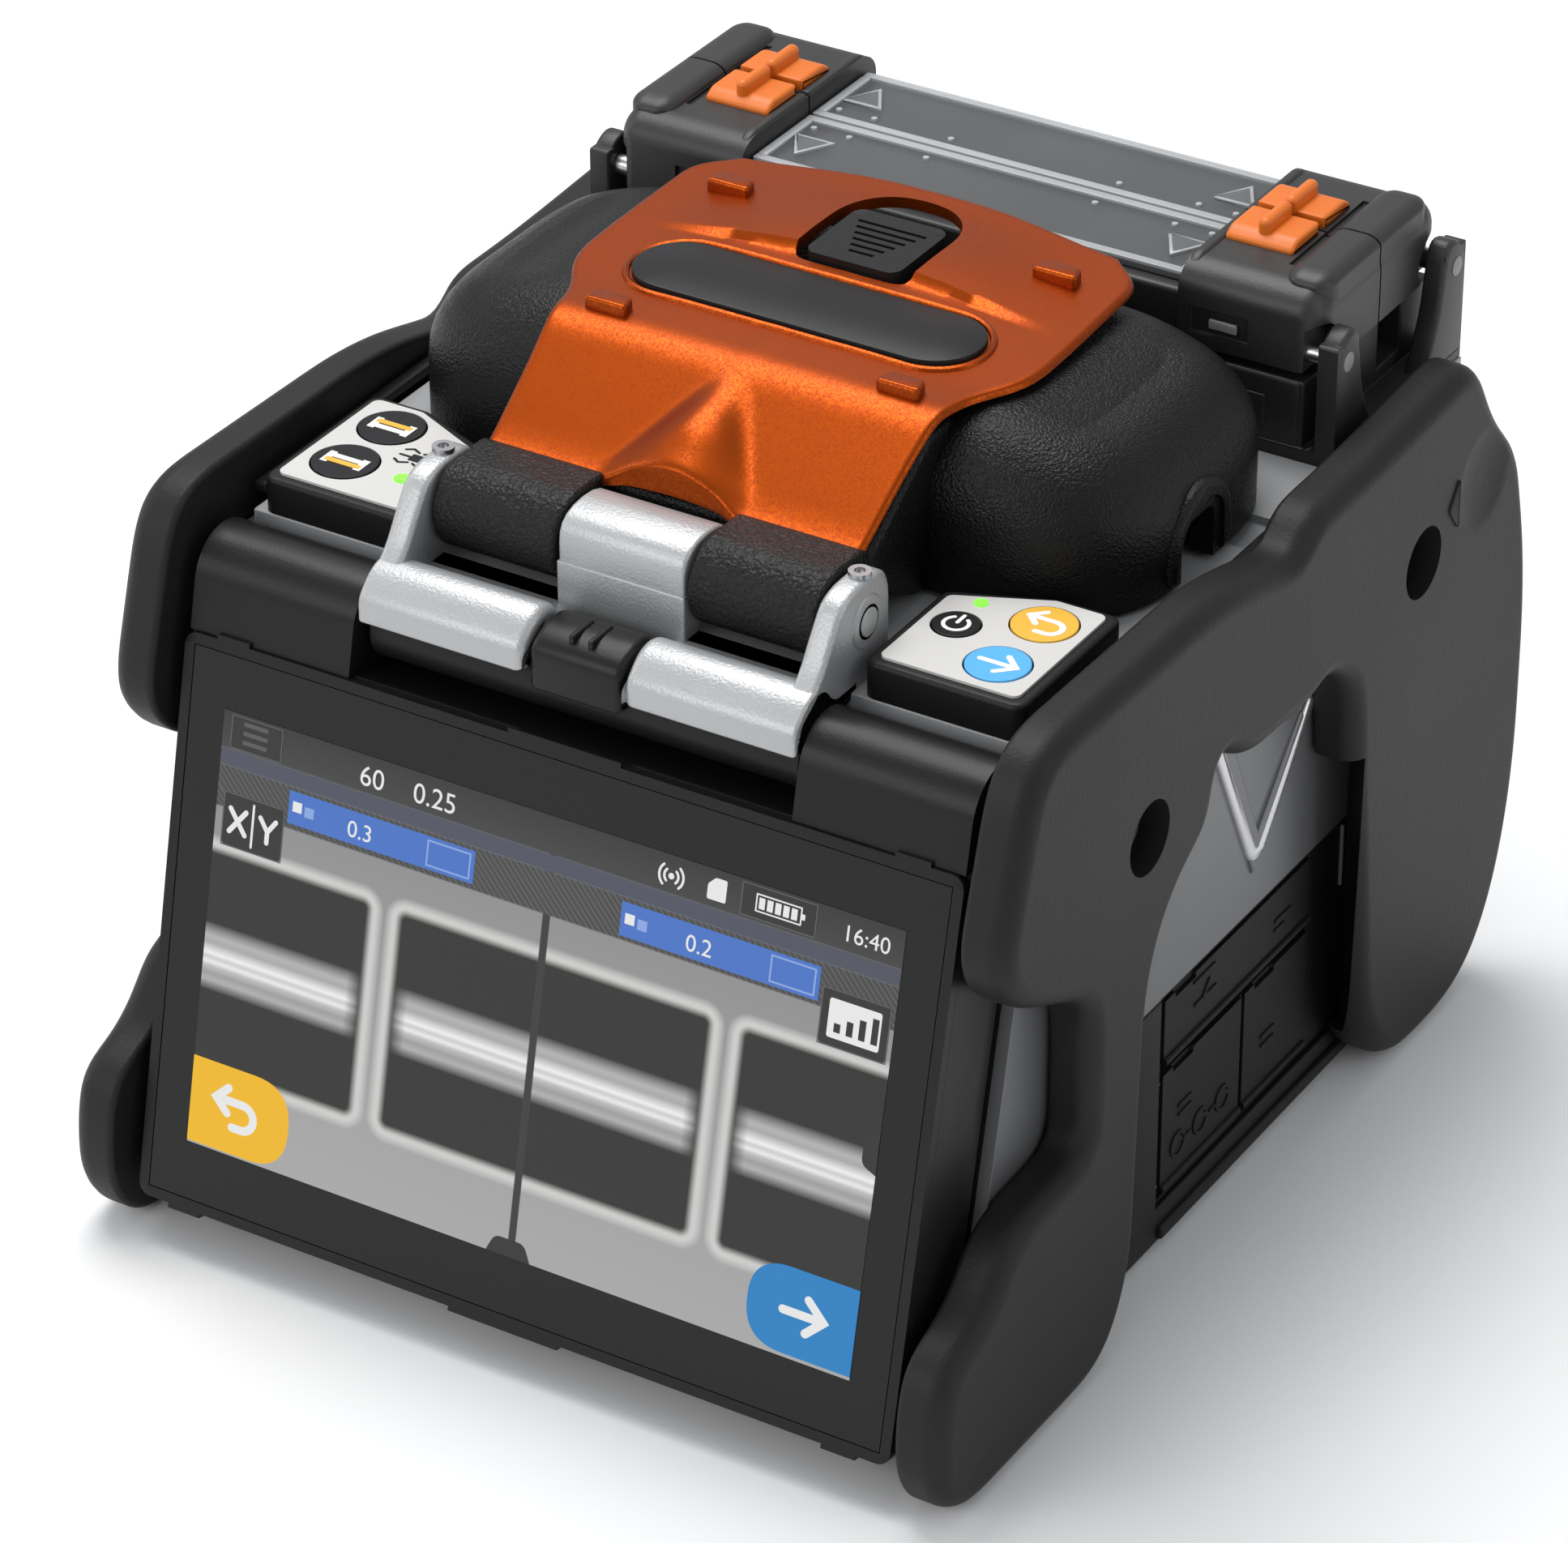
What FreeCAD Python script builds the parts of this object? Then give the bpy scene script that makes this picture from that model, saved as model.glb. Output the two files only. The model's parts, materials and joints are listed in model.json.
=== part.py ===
import FreeCAD, Part
import math
import os

import Sketcher

# A bench-top fusion splicer for optical fibre.  The right side, seen from the screen, is +X,
# the back is +Y and the top is +Z.  The origin is under the middle of the machine, on the table.

os.makedirs("parts", exist_ok=True)
doc = FreeCAD.newDocument("fusion_splicer")
sheet = doc.addObject("Spreadsheet::Sheet", "sizes")
Vector = FreeCAD.Vector


# ---------------------------------------------------------------- sizes and their expressions

class Size:
    """A length that carries its number and the spreadsheet expression that gives it."""

    def __init__(self, number, text):
        self.number = float(number)
        self.text = text

    def combine(self, other, sign, turned=False):
        left, right = (as_size(other), self) if turned else (self, as_size(other))
        number = {"+": lambda: left.number + right.number,
                  "-": lambda: left.number - right.number,
                  "*": lambda: left.number * right.number,
                  "/": lambda: left.number / right.number}[sign]()
        return Size(number, f"({left.text} {sign} {right.text})")

    def __add__(self, other):
        return self.combine(other, "+")

    def __radd__(self, other):
        return self.combine(other, "+", True)

    def __sub__(self, other):
        return self.combine(other, "-")

    def __rsub__(self, other):
        return self.combine(other, "-", True)

    def __mul__(self, other):
        return self.combine(other, "*")

    def __rmul__(self, other):
        return self.combine(other, "*", True)

    def __truediv__(self, other):
        return self.combine(other, "/")

    def __neg__(self):
        return Size(-self.number, f"(-1 * {self.text})")


def as_size(value):
    return value if isinstance(value, Size) else Size(value, f"{float(value):.6g}")


def number(value):
    return as_size(value).number


class Sheet:
    """The driving sizes and the places worked out from them, one row of the spreadsheet each."""

    def __init__(self):
        self.row = 0

    def put(self, name, content, amount, note):
        self.row += 1
        sheet.set(f"A{self.row}", name)
        sheet.set(f"B{self.row}", content)
        sheet.setAlias(f"B{self.row}", name)
        sheet.set(f"C{self.row}", note)
        setattr(self, name, Size(amount, f"sizes.{name}"))

    def drive(self, name, amount, note):
        self.put(name, f"{amount}", amount, note)

    def derive(self, name, size, note):
        self.put(name, "=" + size.text.replace("sizes.", ""), size.number, note)


z = Sheet()
DRIVING = [
    ("body_half", 64.0, "half the width of the body over its side panels"),
    ("side_wall", 2.0, "thickness of a side panel"),
    ("bumper_gap", 0.3, "between a bumper and the side panel"),
    ("bumper_thick", 7.7, "thickness of a bumper"),
    ("bumper_round", 3.0, "rounding of a bumper's outer edges"),
    ("floor_z", 1.5, "underside of the base tray"),
    ("base_wall", 2.5, "thickness of the base tray"),
    ("deck_z", 102.0, "top of the deck"),
    ("deck_thick", 3.0, "thickness of the deck"),
    ("rear_y", 78.5, "outer face of the rear panel"),
    ("rear_wall", 2.5, "thickness of the rear panel"),
    ("screen_wide", 109.0, "active width of the display"),
    ("screen_high", 65.4, "active height of the display"),
    ("panel_wide", 124.0, "width of the monitor's front panel"),
    ("panel_high", 85.5, "height of the monitor's front panel"),
    ("screen_foot", 10.5, "panel below the active display"),
    ("panel_tilt", 12.8, "lean of the monitor, in degrees"),
    ("panel_front", 7.8, "monitor hinge axis to the panel's front face"),
    ("panel_top", 7.3, "monitor hinge axis down to the panel's top edge"),
    ("bezel_thick", 1.8, "thickness of the monitor's front frame"),
    ("glass_thick", 1.1, "thickness of the touch glass"),
    ("monitor_back", 6.2, "monitor hinge axis to the shell's back face"),
    ("shoulder_radius", 7.2, "radius of the monitor's two hinge shoulders"),
    ("tilt_y", -55.4, "monitor hinge axis, along Y"),
    ("tilt_z", 96.4, "monitor hinge axis, height"),
    ("barrel_radius", 5.0, "radius of the monitor's hinge barrel"),
    ("tilt_pin_radius", 2.0, "radius of the monitor's hinge pin"),
    ("running_gap", 0.05, "radial clearance of a shaft in its bore"),
    ("free_gap", 0.3, "clearance between pieces that pass each other"),
    ("bracket_half", 35.0, "half the width of the hinge bracket"),
    ("ear_thick", 4.0, "thickness of a bracket ear"),
    ("cover_y", -43.8, "wind cover hinge axis, along Y"),
    ("cover_z", 111.0, "wind cover hinge axis, height"),
    ("arm_radius", 6.5, "radius of the cover's hinge arms"),
    ("block_half", 10.0, "half the width of the bracket's centre block"),
    ("cover_pin_radius", 2.5, "radius of the cover's hinge shaft"),
    ("dome_half", 59.2, "half the width of the wind cover"),
    ("dome_front", -20.5, "front of the wind cover, along Y"),
    ("dome_rear", 34.0, "rear of the wind cover, along Y"),
    ("dome_top", 127.6, "top of the wind cover's shell"),
    ("dome_wall", 2.2, "wall of the wind cover"),
    ("plate_thick", 2.2, "thickness of the cover's orange plate"),
    ("box_high", 5.5, "height of a button box above the deck"),
    ("box_outer", 60.5, "outer side of a button box from the middle"),
    ("box_inner", 36.2, "inner side of a button box from the middle"),
    ("button_travel", 0.6, "travel of a push button"),
    ("heater_front", 38.5, "front of the heater, along Y"),
    ("heater_half", 58.0, "half the width of the heater"),
    ("lid_top", 124.5, "top of the heater's glass lids"),
    ("lid_pin_z", 118.0, "heater lid hinge axes, height"),
    ("lid_pin_radius", 1.5, "radius of a heater lid's hinge pin"),
    ("clamp_top", 127.5, "top of a heater lid's end clamp"),
    ("battery_wide", 74.0, "width of the battery pack"),
    ("battery_high", 40.0, "height of the battery pack"),
    ("battery_deep", 52.0, "length of the battery pack"),
    ("battery_z", 18.0, "underside of the battery pack"),
    ("port_front", -12.6, "front of the connector panel, along Y"),
    ("port_rear", 47.0, "rear of the connector panel, along Y"),
    ("port_low", 6.0, "bottom of the connector panel"),
    ("port_high", 43.0, "top of the connector panel"),
    ("tripod_radius", 3.175, "radius of the tripod thread in the base"),
    ("screw_well", 5.5, "depth of the screw wells in a bumper"),
    ("lip_inner", 62.4, "inner side of a bumper's lip over the deck"),
    ("bulk_gap", 1.3, "between the closed monitor and the bulkhead behind it"),
    ("bulk_thick", 2.5, "thickness of the front bulkhead"),
    ("fan_x", -41.0, "fan axis, along X"),
    ("fan_z", 78.0, "fan axis, height"),
    ("fan_pin", 1.5, "radius of the fan's post"),
    ("well_half", 44.0, "half the width of the splice chamber's well in the deck"),
    ("well_front", -15.0, "front of the splice chamber's well, along Y"),
    ("well_rear", 28.0, "rear of the splice chamber's well, along Y"),
    ("latch_half", 7.4, "half the width of the centre latch"),
    ("label_thick", 0.4, "thickness of a button label"),
    ("cover_foot", 103.0, "bottom edge of the wind cover"),
    ("lobe_top", 121.0, "top of the wind cover's side lobes"),
    ("hump_half", 36.0, "half the width of the cover's middle hump"),
    ("arm_inner", 10.4, "inner side of a cover arm"),
    ("arm_outer", 30.6, "outer side of a cover arm"),
    ("splice_y", 3.0, "fibre axis, along Y"),
    ("splice_z", 104.5, "fibre axis, height"),
    ("stage_low", 82.0, "underside of the splice stage"),
    ("stage_thick", 3.0, "floor of the splice stage"),
    ("clamp_inner", 21.0, "inner side of a sheath clamp"),
    ("clamp_outer", 33.0, "outer side of a sheath clamp"),
    ("clamp_pin_y", 15.5, "sheath clamp hinge axis, along Y"),
    ("clamp_pin_z", 106.0, "sheath clamp hinge axis, height"),
    ("clamp_pin_radius", 1.0, "radius of a sheath clamp's pin"),
    ("lid_seam", 58.4, "seam between the two heater lids, along Y"),
    ("lid_pin_y", 41.5, "front heater lid's hinge axis, along Y"),
    ("lid_foot", 115.4, "underside of a heater lid"),
    ("trough_top", 114.2, "top of the heater's trough"),
    ("window_low", 123.4, "underside of a heater lid's window"),
    ("block_inner", 36.0, "inner side of a heater lid's end clamp"),
    ("channel_floor", 106.0, "floor of the heater's sleeve channels"),
    ("flap_thick", 1.3, "thickness of a port flap"),
    ("flap_roll", 0.6, "radius of the rolled edge that a port flap turns on"),
    ("wing_gap", 3.9, "sheath lid's wing to its hinge axis, along Y"),
    ("flap_rear", 32.5, "rear edge of the port flaps, along Y"),
    ("jack_radius", 2.8, "radius of a power jack"),
    ("board_z", 60.0, "underside of the main board"),
]
for row in DRIVING:
    z.drive(*row)

z.derive("bumper_inner", z.body_half + z.bumper_gap, "inner face of a bumper")
z.derive("bumper_outer", z.bumper_inner + z.bumper_thick, "outer face of a bumper")
z.derive("deck_under", z.deck_z - z.deck_thick, "underside of the deck")
z.derive("inside_half", z.body_half - z.side_wall, "half the width between the side panels")
z.derive("tray_top", z.floor_z + z.base_wall, "inside floor of the base tray")
z.derive("pack_low", z.battery_z, "bottom of the battery bay")
z.put("lean_sine", "=sin(panel_tilt)", math.sin(math.radians(number(z.panel_tilt))),
      "sine of the monitor's lean")
z.put("lean_cosine", "=cos(panel_tilt)", math.cos(math.radians(number(z.panel_tilt))),
      "cosine of the monitor's lean")
z.derive("bulk_front", z.monitor_back + z.bulk_gap, "monitor axis to the bulkhead's face")
z.derive("deck_front", z.tilt_y + z.shoulder_radius + z.free_gap, "front edge of the deck")
z.derive("shell_half", z.inside_half - 0.1, "half the width of what fits between the sides")
z.derive("bulk_foot", z.panel_top + z.panel_high - 1.3, "monitor axis down to the bulkhead's foot")
z.derive("box_top", z.deck_z + z.box_high, "top of a button box")
z.derive("label_top", z.box_top + z.label_thick, "top of a button label")
z.derive("badge_low", z.dome_top + 1.1, "underside of the badge")
z.derive("stage_floor", z.stage_low + z.stage_thick, "floor of the splice chamber")
z.derive("rear_pin_y", z.lid_seam * 2 - z.lid_pin_y, "rear heater lid's hinge axis, along Y")
z.derive("port_face", z.body_half - 0.6, "outer face of the connector panel")
z.derive("flap_face", z.port_face + 0.35, "outer face of a port flap")
doc.recompute()


# ---------------------------------------------------------------- drawing helpers

def bind(thing, prop, value):
    """Sets a property from a size, and ties it to the sheet where the size names a cell."""
    if isinstance(value, Size) and "sizes." in value.text:
        thing.setExpression(prop, value.text)
    else:
        setattr(thing, prop, number(value))


def bind_place(thing, place):
    for axis, value in zip("xyz", place):
        thing.setExpression(f"Placement.Base.{axis}", as_size(value).text)


def origin_plane(body, role):
    return next(item for item in body.Origin.OriginFeatures if item.Role == role)


def new_sketch(body, name, role, offset):
    sketch = body.newObject("Sketcher::SketchObject", name)
    sketch.AttachmentSupport = [(origin_plane(body, role), "")]
    sketch.MapMode = "FlatFace"
    sketch.setExpression("AttachmentOffset.Base.z", as_size(offset).text)
    return sketch


def pin_point(sketch, geometry, end, place):
    """Ties one point of a sketch to a place given by two sizes."""
    for kind, value in zip(("DistanceX", "DistanceY"), place):
        amount = as_size(value)
        index = sketch.addConstraint(
            Sketcher.Constraint(kind, -1, 1, geometry, end, amount.number))
        if "sizes." in amount.text:
            sketch.setExpression(f"Constraints[{index}]", amount.text)


def draw_outline(sketch, corners):
    """Draws a closed chain of straight lines through the corners."""
    points = [Vector(number(a), number(b), 0) for a, b in corners]
    lines = []
    for first, second in zip(points, points[1:] + points[:1]):
        lines.append(sketch.addGeometry(Part.LineSegment(first, second), False))
    for this, line in enumerate(lines):
        before = lines[this - 1]
        sketch.addConstraint(Sketcher.Constraint("Coincident", before, 2, line, 1))
        pin_point(sketch, line, 1, corners[this])


def draw_circle(sketch, centre, radius):
    middle = Vector(number(centre[0]), number(centre[1]), 0)
    ring = sketch.addGeometry(Part.Circle(middle, Vector(0, 0, 1), number(radius)), False)
    pin_point(sketch, ring, 3, centre)
    amount = as_size(radius)
    index = sketch.addConstraint(Sketcher.Constraint("Radius", ring, amount.number))
    if "sizes." in amount.text:
        sketch.setExpression(f"Constraints[{index}]", amount.text)


# A sketch on an origin plane faces +Z on XY_Plane, -Y on XZ_Plane and +X on YZ_Plane.

def new_body(name):
    body = doc.addObject("PartDesign::Body", name)
    body.Label = name
    return body


def pad(body, name, role, start, length, outlines=(), circles=()):
    """A pad from start, along the plane's own direction, over length."""
    sketch = new_sketch(body, name + "_sketch", role, start)
    for corners in outlines:
        draw_outline(sketch, corners)
    for centre, radius in circles:
        draw_circle(sketch, centre, radius)
    feature = body.newObject("PartDesign::Pad", name)
    feature.Profile = sketch
    bind(feature, "Length", length)
    body.Tip = feature
    return feature


def cut(body, name, role, start, length, outlines=(), circles=()):
    """A pocket from start, along the plane's own direction, over length."""
    sketch = new_sketch(body, name + "_sketch", role, start)
    for corners in outlines:
        draw_outline(sketch, corners)
    for centre, radius in circles:
        draw_circle(sketch, centre, radius)
    feature = body.newObject("PartDesign::Pocket", name)
    feature.Profile = sketch
    feature.Reversed = True
    bind(feature, "Length", length)
    body.Tip = feature
    return feature


def edges_where(shape, test):
    """The names of the edges whose middle point and direction pass the test."""
    names = []
    for index, edge in enumerate(shape.Edges, 1):
        middle = edge.valueAt((edge.FirstParameter + edge.LastParameter) / 2)
        way = edge.tangentAt((edge.FirstParameter + edge.LastParameter) / 2)
        if test(middle, way):
            names.append(f"Edge{index}")
    return names


def soften(body, name, radius, test, kind="PartDesign::Fillet"):
    """Rounds or bevels the edges of the body's last feature that pass the test."""
    doc.recompute()
    base = body.Tip
    names = edges_where(base.Shape, test)
    if not names:
        raise RuntimeError(f"{body.Label}: no edge for {name}")
    feature = body.newObject(kind, name)
    feature.Base = (base, names)
    bind(feature, "Size" if kind.endswith("Chamfer") else "Radius", radius)
    body.Tip = feature
    doc.recompute()
    return feature


def along(way, axis, limit=0.999):
    return abs(getattr(way, axis)) > limit


def rectangle(a0, a1, b0, b1):
    return [(a0, b0), (a1, b0), (a1, b1), (a0, b1)]


def slab(body, name, low, high):
    """A rectangular pad between two corners."""
    return pad(body, name, "XY_Plane", low[2], high[2] - low[2],
               [rectangle(low[0], high[0], low[1], high[1])])


def slot(body, name, low, high):
    """A rectangular pocket between two corners."""
    return cut(body, name, "XY_Plane", low[2], high[2] - low[2],
               [rectangle(low[0], high[0], low[1], high[1])])


SQUARE_TO = {"x": "YZ_Plane", "y": "XZ_Plane", "z": "XY_Plane"}


def rod(body, name, axis, start, length, centre, radius):
    """A round pad along an axis."""
    return pad(body, name, SQUARE_TO[axis], start, length, circles=[(centre, radius)])


def bore(body, name, axis, start, length, centre, radius):
    """A round pocket along an axis."""
    return cut(body, name, SQUARE_TO[axis], start, length, circles=[(centre, radius)])


def both_sides(inner, outer):
    """The two spans of X, right and left, that lie between two distances from the middle."""
    return (("right", inner, outer), ("left", -outer, -inner))


def group(name, members):
    """Several separate pieces of one kind, kept as one node."""
    compound = doc.addObject("Part::Compound", name)
    compound.Label = name
    compound.Links = members
    return compound


def piece(name):
    """A body that belongs to a group, so it is not a node itself."""
    return new_body(name)


def stage_place(body, place, turn=None):
    bind_place(body, place)
    if turn is not None:
        body.Placement.Rotation = FreeCAD.Rotation(Vector(1, 0, 0), 1)
        body.setExpression("Placement.Rotation.Angle", as_size(turn).text)


nodes = []


# ---------------------------------------------------------------- bumpers

BUMPER_OUTLINE = [
    (-58, 110.7), (-63.8, 106.5), (-71.2, 82.1), (-67.5, 75.5), (-62, 71.5), (-46, 64),
    (-46, 39.5), (-66.5, 38.5), (-73.5, 29.4), (-84.0, 26.6), (-86.5, 18.0), (-86.5, 8.0),
    (-80.0, 0), (-40.0, 0), (-32.0, 12), (-29.8, 58.4), (-24.1, 68.9), (-13.6, 74.8),
    (-11.0, 85.2), (-3.0, 79.0), (16.5, 78.2), (21.0, 80.6), (28.7, 75.2), (36.0, 12.7),
    (46.0, 0), (70.0, 0), (80.8, 11.0), (86.5, 30.5), (86.5, 66.0), (80.6, 89.0),
    (72.3, 97.5), (64.6, 111.0), (31.0, 109.0), (14.5, 109.0), (10.6, 104.4), (-11.0, 110.0)]
BUMPER_SCREWS = [(-32.1, 82.8), (48.6, 85.2)]
SCREW_WELL = 5.5
SCREW_RADIUS = 1.5
SCREW_HOLE = 1.6
HEAD_RADIUS = 3.0
HEAD_HIGH = 1.8
PAD_CENTRE = (67.3, 90.0)
PAD_RADIUS = 7.5


def make_bumper(name, side):
    """One rubber bumper; side is 1 for the right one and -1 for the left one."""
    body = new_body(name)
    inner = z.bumper_inner if side > 0 else -z.bumper_outer
    pad(body, name + "_plate", "YZ_Plane", inner, z.bumper_thick, [BUMPER_OUTLINE])
    soften(body, name + "_corners", 3.2, lambda middle, way: along(way, "x"))
    outer = number(z.bumper_outer) * side
    soften(body, name + "_edges", z.bumper_round,
           lambda middle, way: abs(middle.x - outer) < 0.01)
    well_start = z.bumper_outer - z.screw_well if side > 0 else -z.bumper_outer
    for index, centre in enumerate(BUMPER_SCREWS):
        bore(body, f"{name}_well_{index}", "x", well_start, z.screw_well, centre, SCREW_WELL)
        bore(body, f"{name}_hole_{index}", "x", inner, z.bumper_thick, centre, SCREW_HOLE)
    pad_start = z.bumper_outer - 0.8 if side > 0 else -z.bumper_outer
    bore(body, name + "_pad", "x", pad_start, 0.8, PAD_CENTRE, PAD_RADIUS)
    lip = both_sides(z.lip_inner, z.bumper_inner + 0.5)[0 if side > 0 else 1]
    slab(body, name + "_lip", (lip[1], -44, z.deck_z + 0.2), (lip[2], 60, z.deck_z + 1.8))
    leg = [(z.bumper_inner - 0.1, 24), (z.bumper_outer + 1, 24), (z.bumper_outer + 1, 31.3),
           (z.bumper_inner - 0.1, 44.3)]
    if side < 0:
        leg = [(-a, b) for a, b in leg]
    cut(body, name + "_leg_face", "XY_Plane", 9, 61, [leg])
    return body


nodes.append(make_bumper("right_bumper", 1))
nodes.append(make_bumper("left_bumper", -1))


def make_bumper_screws():
    members = []
    for side, low, high in both_sides(z.inside_half - 3, z.bumper_outer - z.screw_well):
        for index, centre in enumerate(BUMPER_SCREWS):
            body = piece(f"bumper_screw_{side}_{index}")
            rod(body, body.Label + "_shank", "x", low, high - low, centre, SCREW_RADIUS)
            head = high if side == "right" else low - HEAD_HIGH
            rod(body, body.Label + "_head", "x", head, HEAD_HIGH, centre, HEAD_RADIUS)
            drive = head + HEAD_HIGH - 1 if side == "right" else head
            bore(body, body.Label + "_drive", "x", drive, 1, centre, 1.4)
            members.append(body)
    return group("bumper_screws", members)


nodes.append(make_bumper_screws())


# ---------------------------------------------------------------- body shell


def leaned(away, down):
    """A place in the side view: away behind the monitor's axis, and down along its lean."""
    return (z.tilt_y + away * z.lean_cosine - down * z.lean_sine,
            z.tilt_z - away * z.lean_sine - down * z.lean_cosine)


def side_outline():
    return [leaned(z.bulk_front, z.bulk_foot + 1.6), leaned(z.bulk_front, 9.5),
            (z.deck_front, z.tilt_z - 6.4), (z.deck_front, z.deck_under),
            (z.rear_y, z.deck_under), (z.rear_y, 12), (68, z.floor_z), (-66.5, z.floor_z)]


CHEVRON = [(1.5, 76.2), (4.7, 77.3), (14.2, 56.6), (26.2, 70.0), (28.8, 67.6), (13.0, 50.0)]


def make_side_panel(name, side):
    body = new_body(name)
    low = z.inside_half if side > 0 else -z.body_half
    pad(body, name + "_plate", "YZ_Plane", low, z.side_wall, [side_outline()])
    for index, centre in enumerate(BUMPER_SCREWS):
        bore(body, f"{name}_hole_{index}", "x", low, z.side_wall, centre, SCREW_HOLE)
    ridge = z.body_half - 0.2 if side > 0 else -z.body_half - 0.6
    pad(body, name + "_chevron", "YZ_Plane", ridge, 0.8, [CHEVRON])
    soften(body, name + "_chevron_edge", 0.5,
           lambda middle, way: abs(middle.x - side * (number(z.body_half) + 0.6)) < 0.01)
    if side > 0:
        slot(body, name + "_window",
             (low - 1, z.port_front - 0.3, z.port_low - 0.3),
             (low + z.side_wall + 1, z.port_rear + 0.3, z.port_high + 0.3))
    return body


nodes.append(make_side_panel("side_panel_right", 1))
nodes.append(make_side_panel("side_panel_left", -1))


def make_base_tray():
    body = new_body("base_tray")
    profile = [(-68.2, z.floor_z), (-69.4, z.floor_z + 1.4), (-69.4, z.floor_z + 3),
               (-65.3, z.floor_z + 3), (-63.3, z.floor_z + 12.5),
               (z.rear_y - z.rear_wall - 0.1, z.floor_z + 12.5),
               (z.rear_y - z.rear_wall - 0.1, z.floor_z + 9.8), (66, z.floor_z)]
    pad(body, "tray_block", "YZ_Plane", -z.shell_half, z.shell_half * 2, [profile])
    slot(body, "tray_hollow", (-(z.shell_half - z.base_wall), -60.5, z.tray_top),
         (z.shell_half - z.base_wall, 63.5, z.tray_top + 12))
    slot(body, "tray_port_room", (z.inside_half - 1.9, z.port_front - 0.3, z.port_low - 0.3),
         (z.shell_half + 1, z.port_rear + 0.3, z.floor_z + 13))
    rod(body, "tripod_boss", "z", z.tray_top - 1, 9, (0, 0), z.tripod_radius + 4)
    bore(body, "tripod_thread", "z", z.floor_z, 9, (0, 0), z.tripod_radius)
    for index, x in enumerate((-40, -20, 20, 40)):
        slot(body, f"floor_vent_{index}", (x - 1.5, -50, z.floor_z - 1), (x + 1.5, -20, z.tray_top + 1))
    return body


nodes.append(make_base_tray())


def make_front_bulkhead():
    body = new_body("front_bulkhead")
    back = z.bulk_front + z.bulk_thick
    profile = [leaned(z.bulk_front, z.bulk_foot), leaned(z.bulk_front, 9.5),
               (z.deck_front, z.tilt_z - 6.4), (z.deck_front, z.deck_under),
               (z.deck_front + z.bulk_thick, z.deck_under),
               (z.deck_front + z.bulk_thick, z.tilt_z - 7), leaned(back, 10.2),
               leaned(back, z.bulk_foot)]
    pad(body, "bulkhead_sheet", "YZ_Plane", -z.shell_half, z.shell_half * 2, [profile])
    bore(body, "cable_pass", "z", z.floor_z + 20, 8, (0, -60), 5)
    return body


nodes.append(make_front_bulkhead())


def make_rear_panel():
    body = new_body("rear_panel")
    face = z.rear_y - z.rear_wall
    slab(body, "rear_sheet", (-z.shell_half, face, 12.2), (z.shell_half, z.rear_y, z.deck_under))
    half = z.battery_wide / 2 + z.free_gap
    low = z.pack_low - z.free_gap
    high = z.pack_low + z.battery_high + z.free_gap
    depth = face - z.battery_deep
    slab(body, "bay_tunnel", (-half - 1.5, depth, low - 1.5), (half + 1.5, face + 1, high + 1.5))
    slot(body, "bay_hollow", (-half, depth + 1.5, low), (half, z.rear_y + 1, high))
    for index in range(6):
        x = 16 + index * 6
        slot(body, f"rear_vent_{index}", (x, face - 1, 68), (x + 3, z.rear_y + 1, 88))
    for index in range(5):
        x = z.fan_x - 9.5 + index * 4
        slot(body, f"fan_vent_{index}", (x, face - 1, z.fan_z - 9), (x + 2, z.rear_y + 1, z.fan_z - 3.2))
        slot(body, f"fan_vent_top_{index}", (x, face - 1, z.fan_z + 3.2),
             (x + 2, z.rear_y + 1, z.fan_z + 9))
    for index, x in enumerate((-1, 1)):
        slab(body, f"fan_frame_{index}", (z.fan_x + x * 14 - 1, face - 11, z.fan_z - 14),
             (z.fan_x + x * 14 + 1, face + 0.5, z.fan_z + 14))
        slab(body, f"fan_frame_end_{index}", (z.fan_x - 14, face - 11, z.fan_z + x * 14 - 1),
             (z.fan_x + 14, face + 0.5, z.fan_z + x * 14 + 1))
    rod(body, "fan_post", "y", -(face + 0.5), 11, (z.fan_x, z.fan_z), z.fan_pin)
    return body


nodes.append(make_rear_panel())


def make_fan_rotor():
    body = new_body("fan_rotor")
    front = z.rear_y - z.rear_wall - 9.5
    rod(body, "fan_hub", "y", -(front + 8), 8, (z.fan_x, z.fan_z), 4)
    for index in range(3):
        turn = math.radians(60 * index)
        across, up = 11.8 * math.cos(turn), 11.8 * math.sin(turn)
        wide, high = -0.7 * math.sin(turn), 0.7 * math.cos(turn)
        blade = [(z.fan_x - across - wide, z.fan_z - up - high),
                 (z.fan_x + across - wide, z.fan_z + up - high),
                 (z.fan_x + across + wide, z.fan_z + up + high),
                 (z.fan_x - across + wide, z.fan_z - up + high)]
        pad(body, f"fan_blades_{index}", "XZ_Plane", -(front + 6.5), 5.5, [blade])
    bore(body, "fan_bore", "y", -(front + 8), 8, (z.fan_x, z.fan_z), z.fan_pin + z.running_gap)
    return body


nodes.append(make_fan_rotor())


def make_battery():
    body = new_body("battery_pack")
    face = z.rear_y - z.rear_wall
    half = z.battery_wide / 2
    slab(body, "pack_case", (-half, face - z.battery_deep + 2, z.pack_low),
         (half, z.rear_y + 1, z.pack_low + z.battery_high))
    soften(body, "pack_rounding", 1.5, lambda middle, way: along(way, "y"))
    for index in range(4):
        low = z.pack_low + 7 + index * 3
        slot(body, f"pack_grip_{index}", (-12, z.rear_y + 0.2, low), (12, z.rear_y + 2, low + 1.5))
    return body


nodes.append(make_battery())


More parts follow.
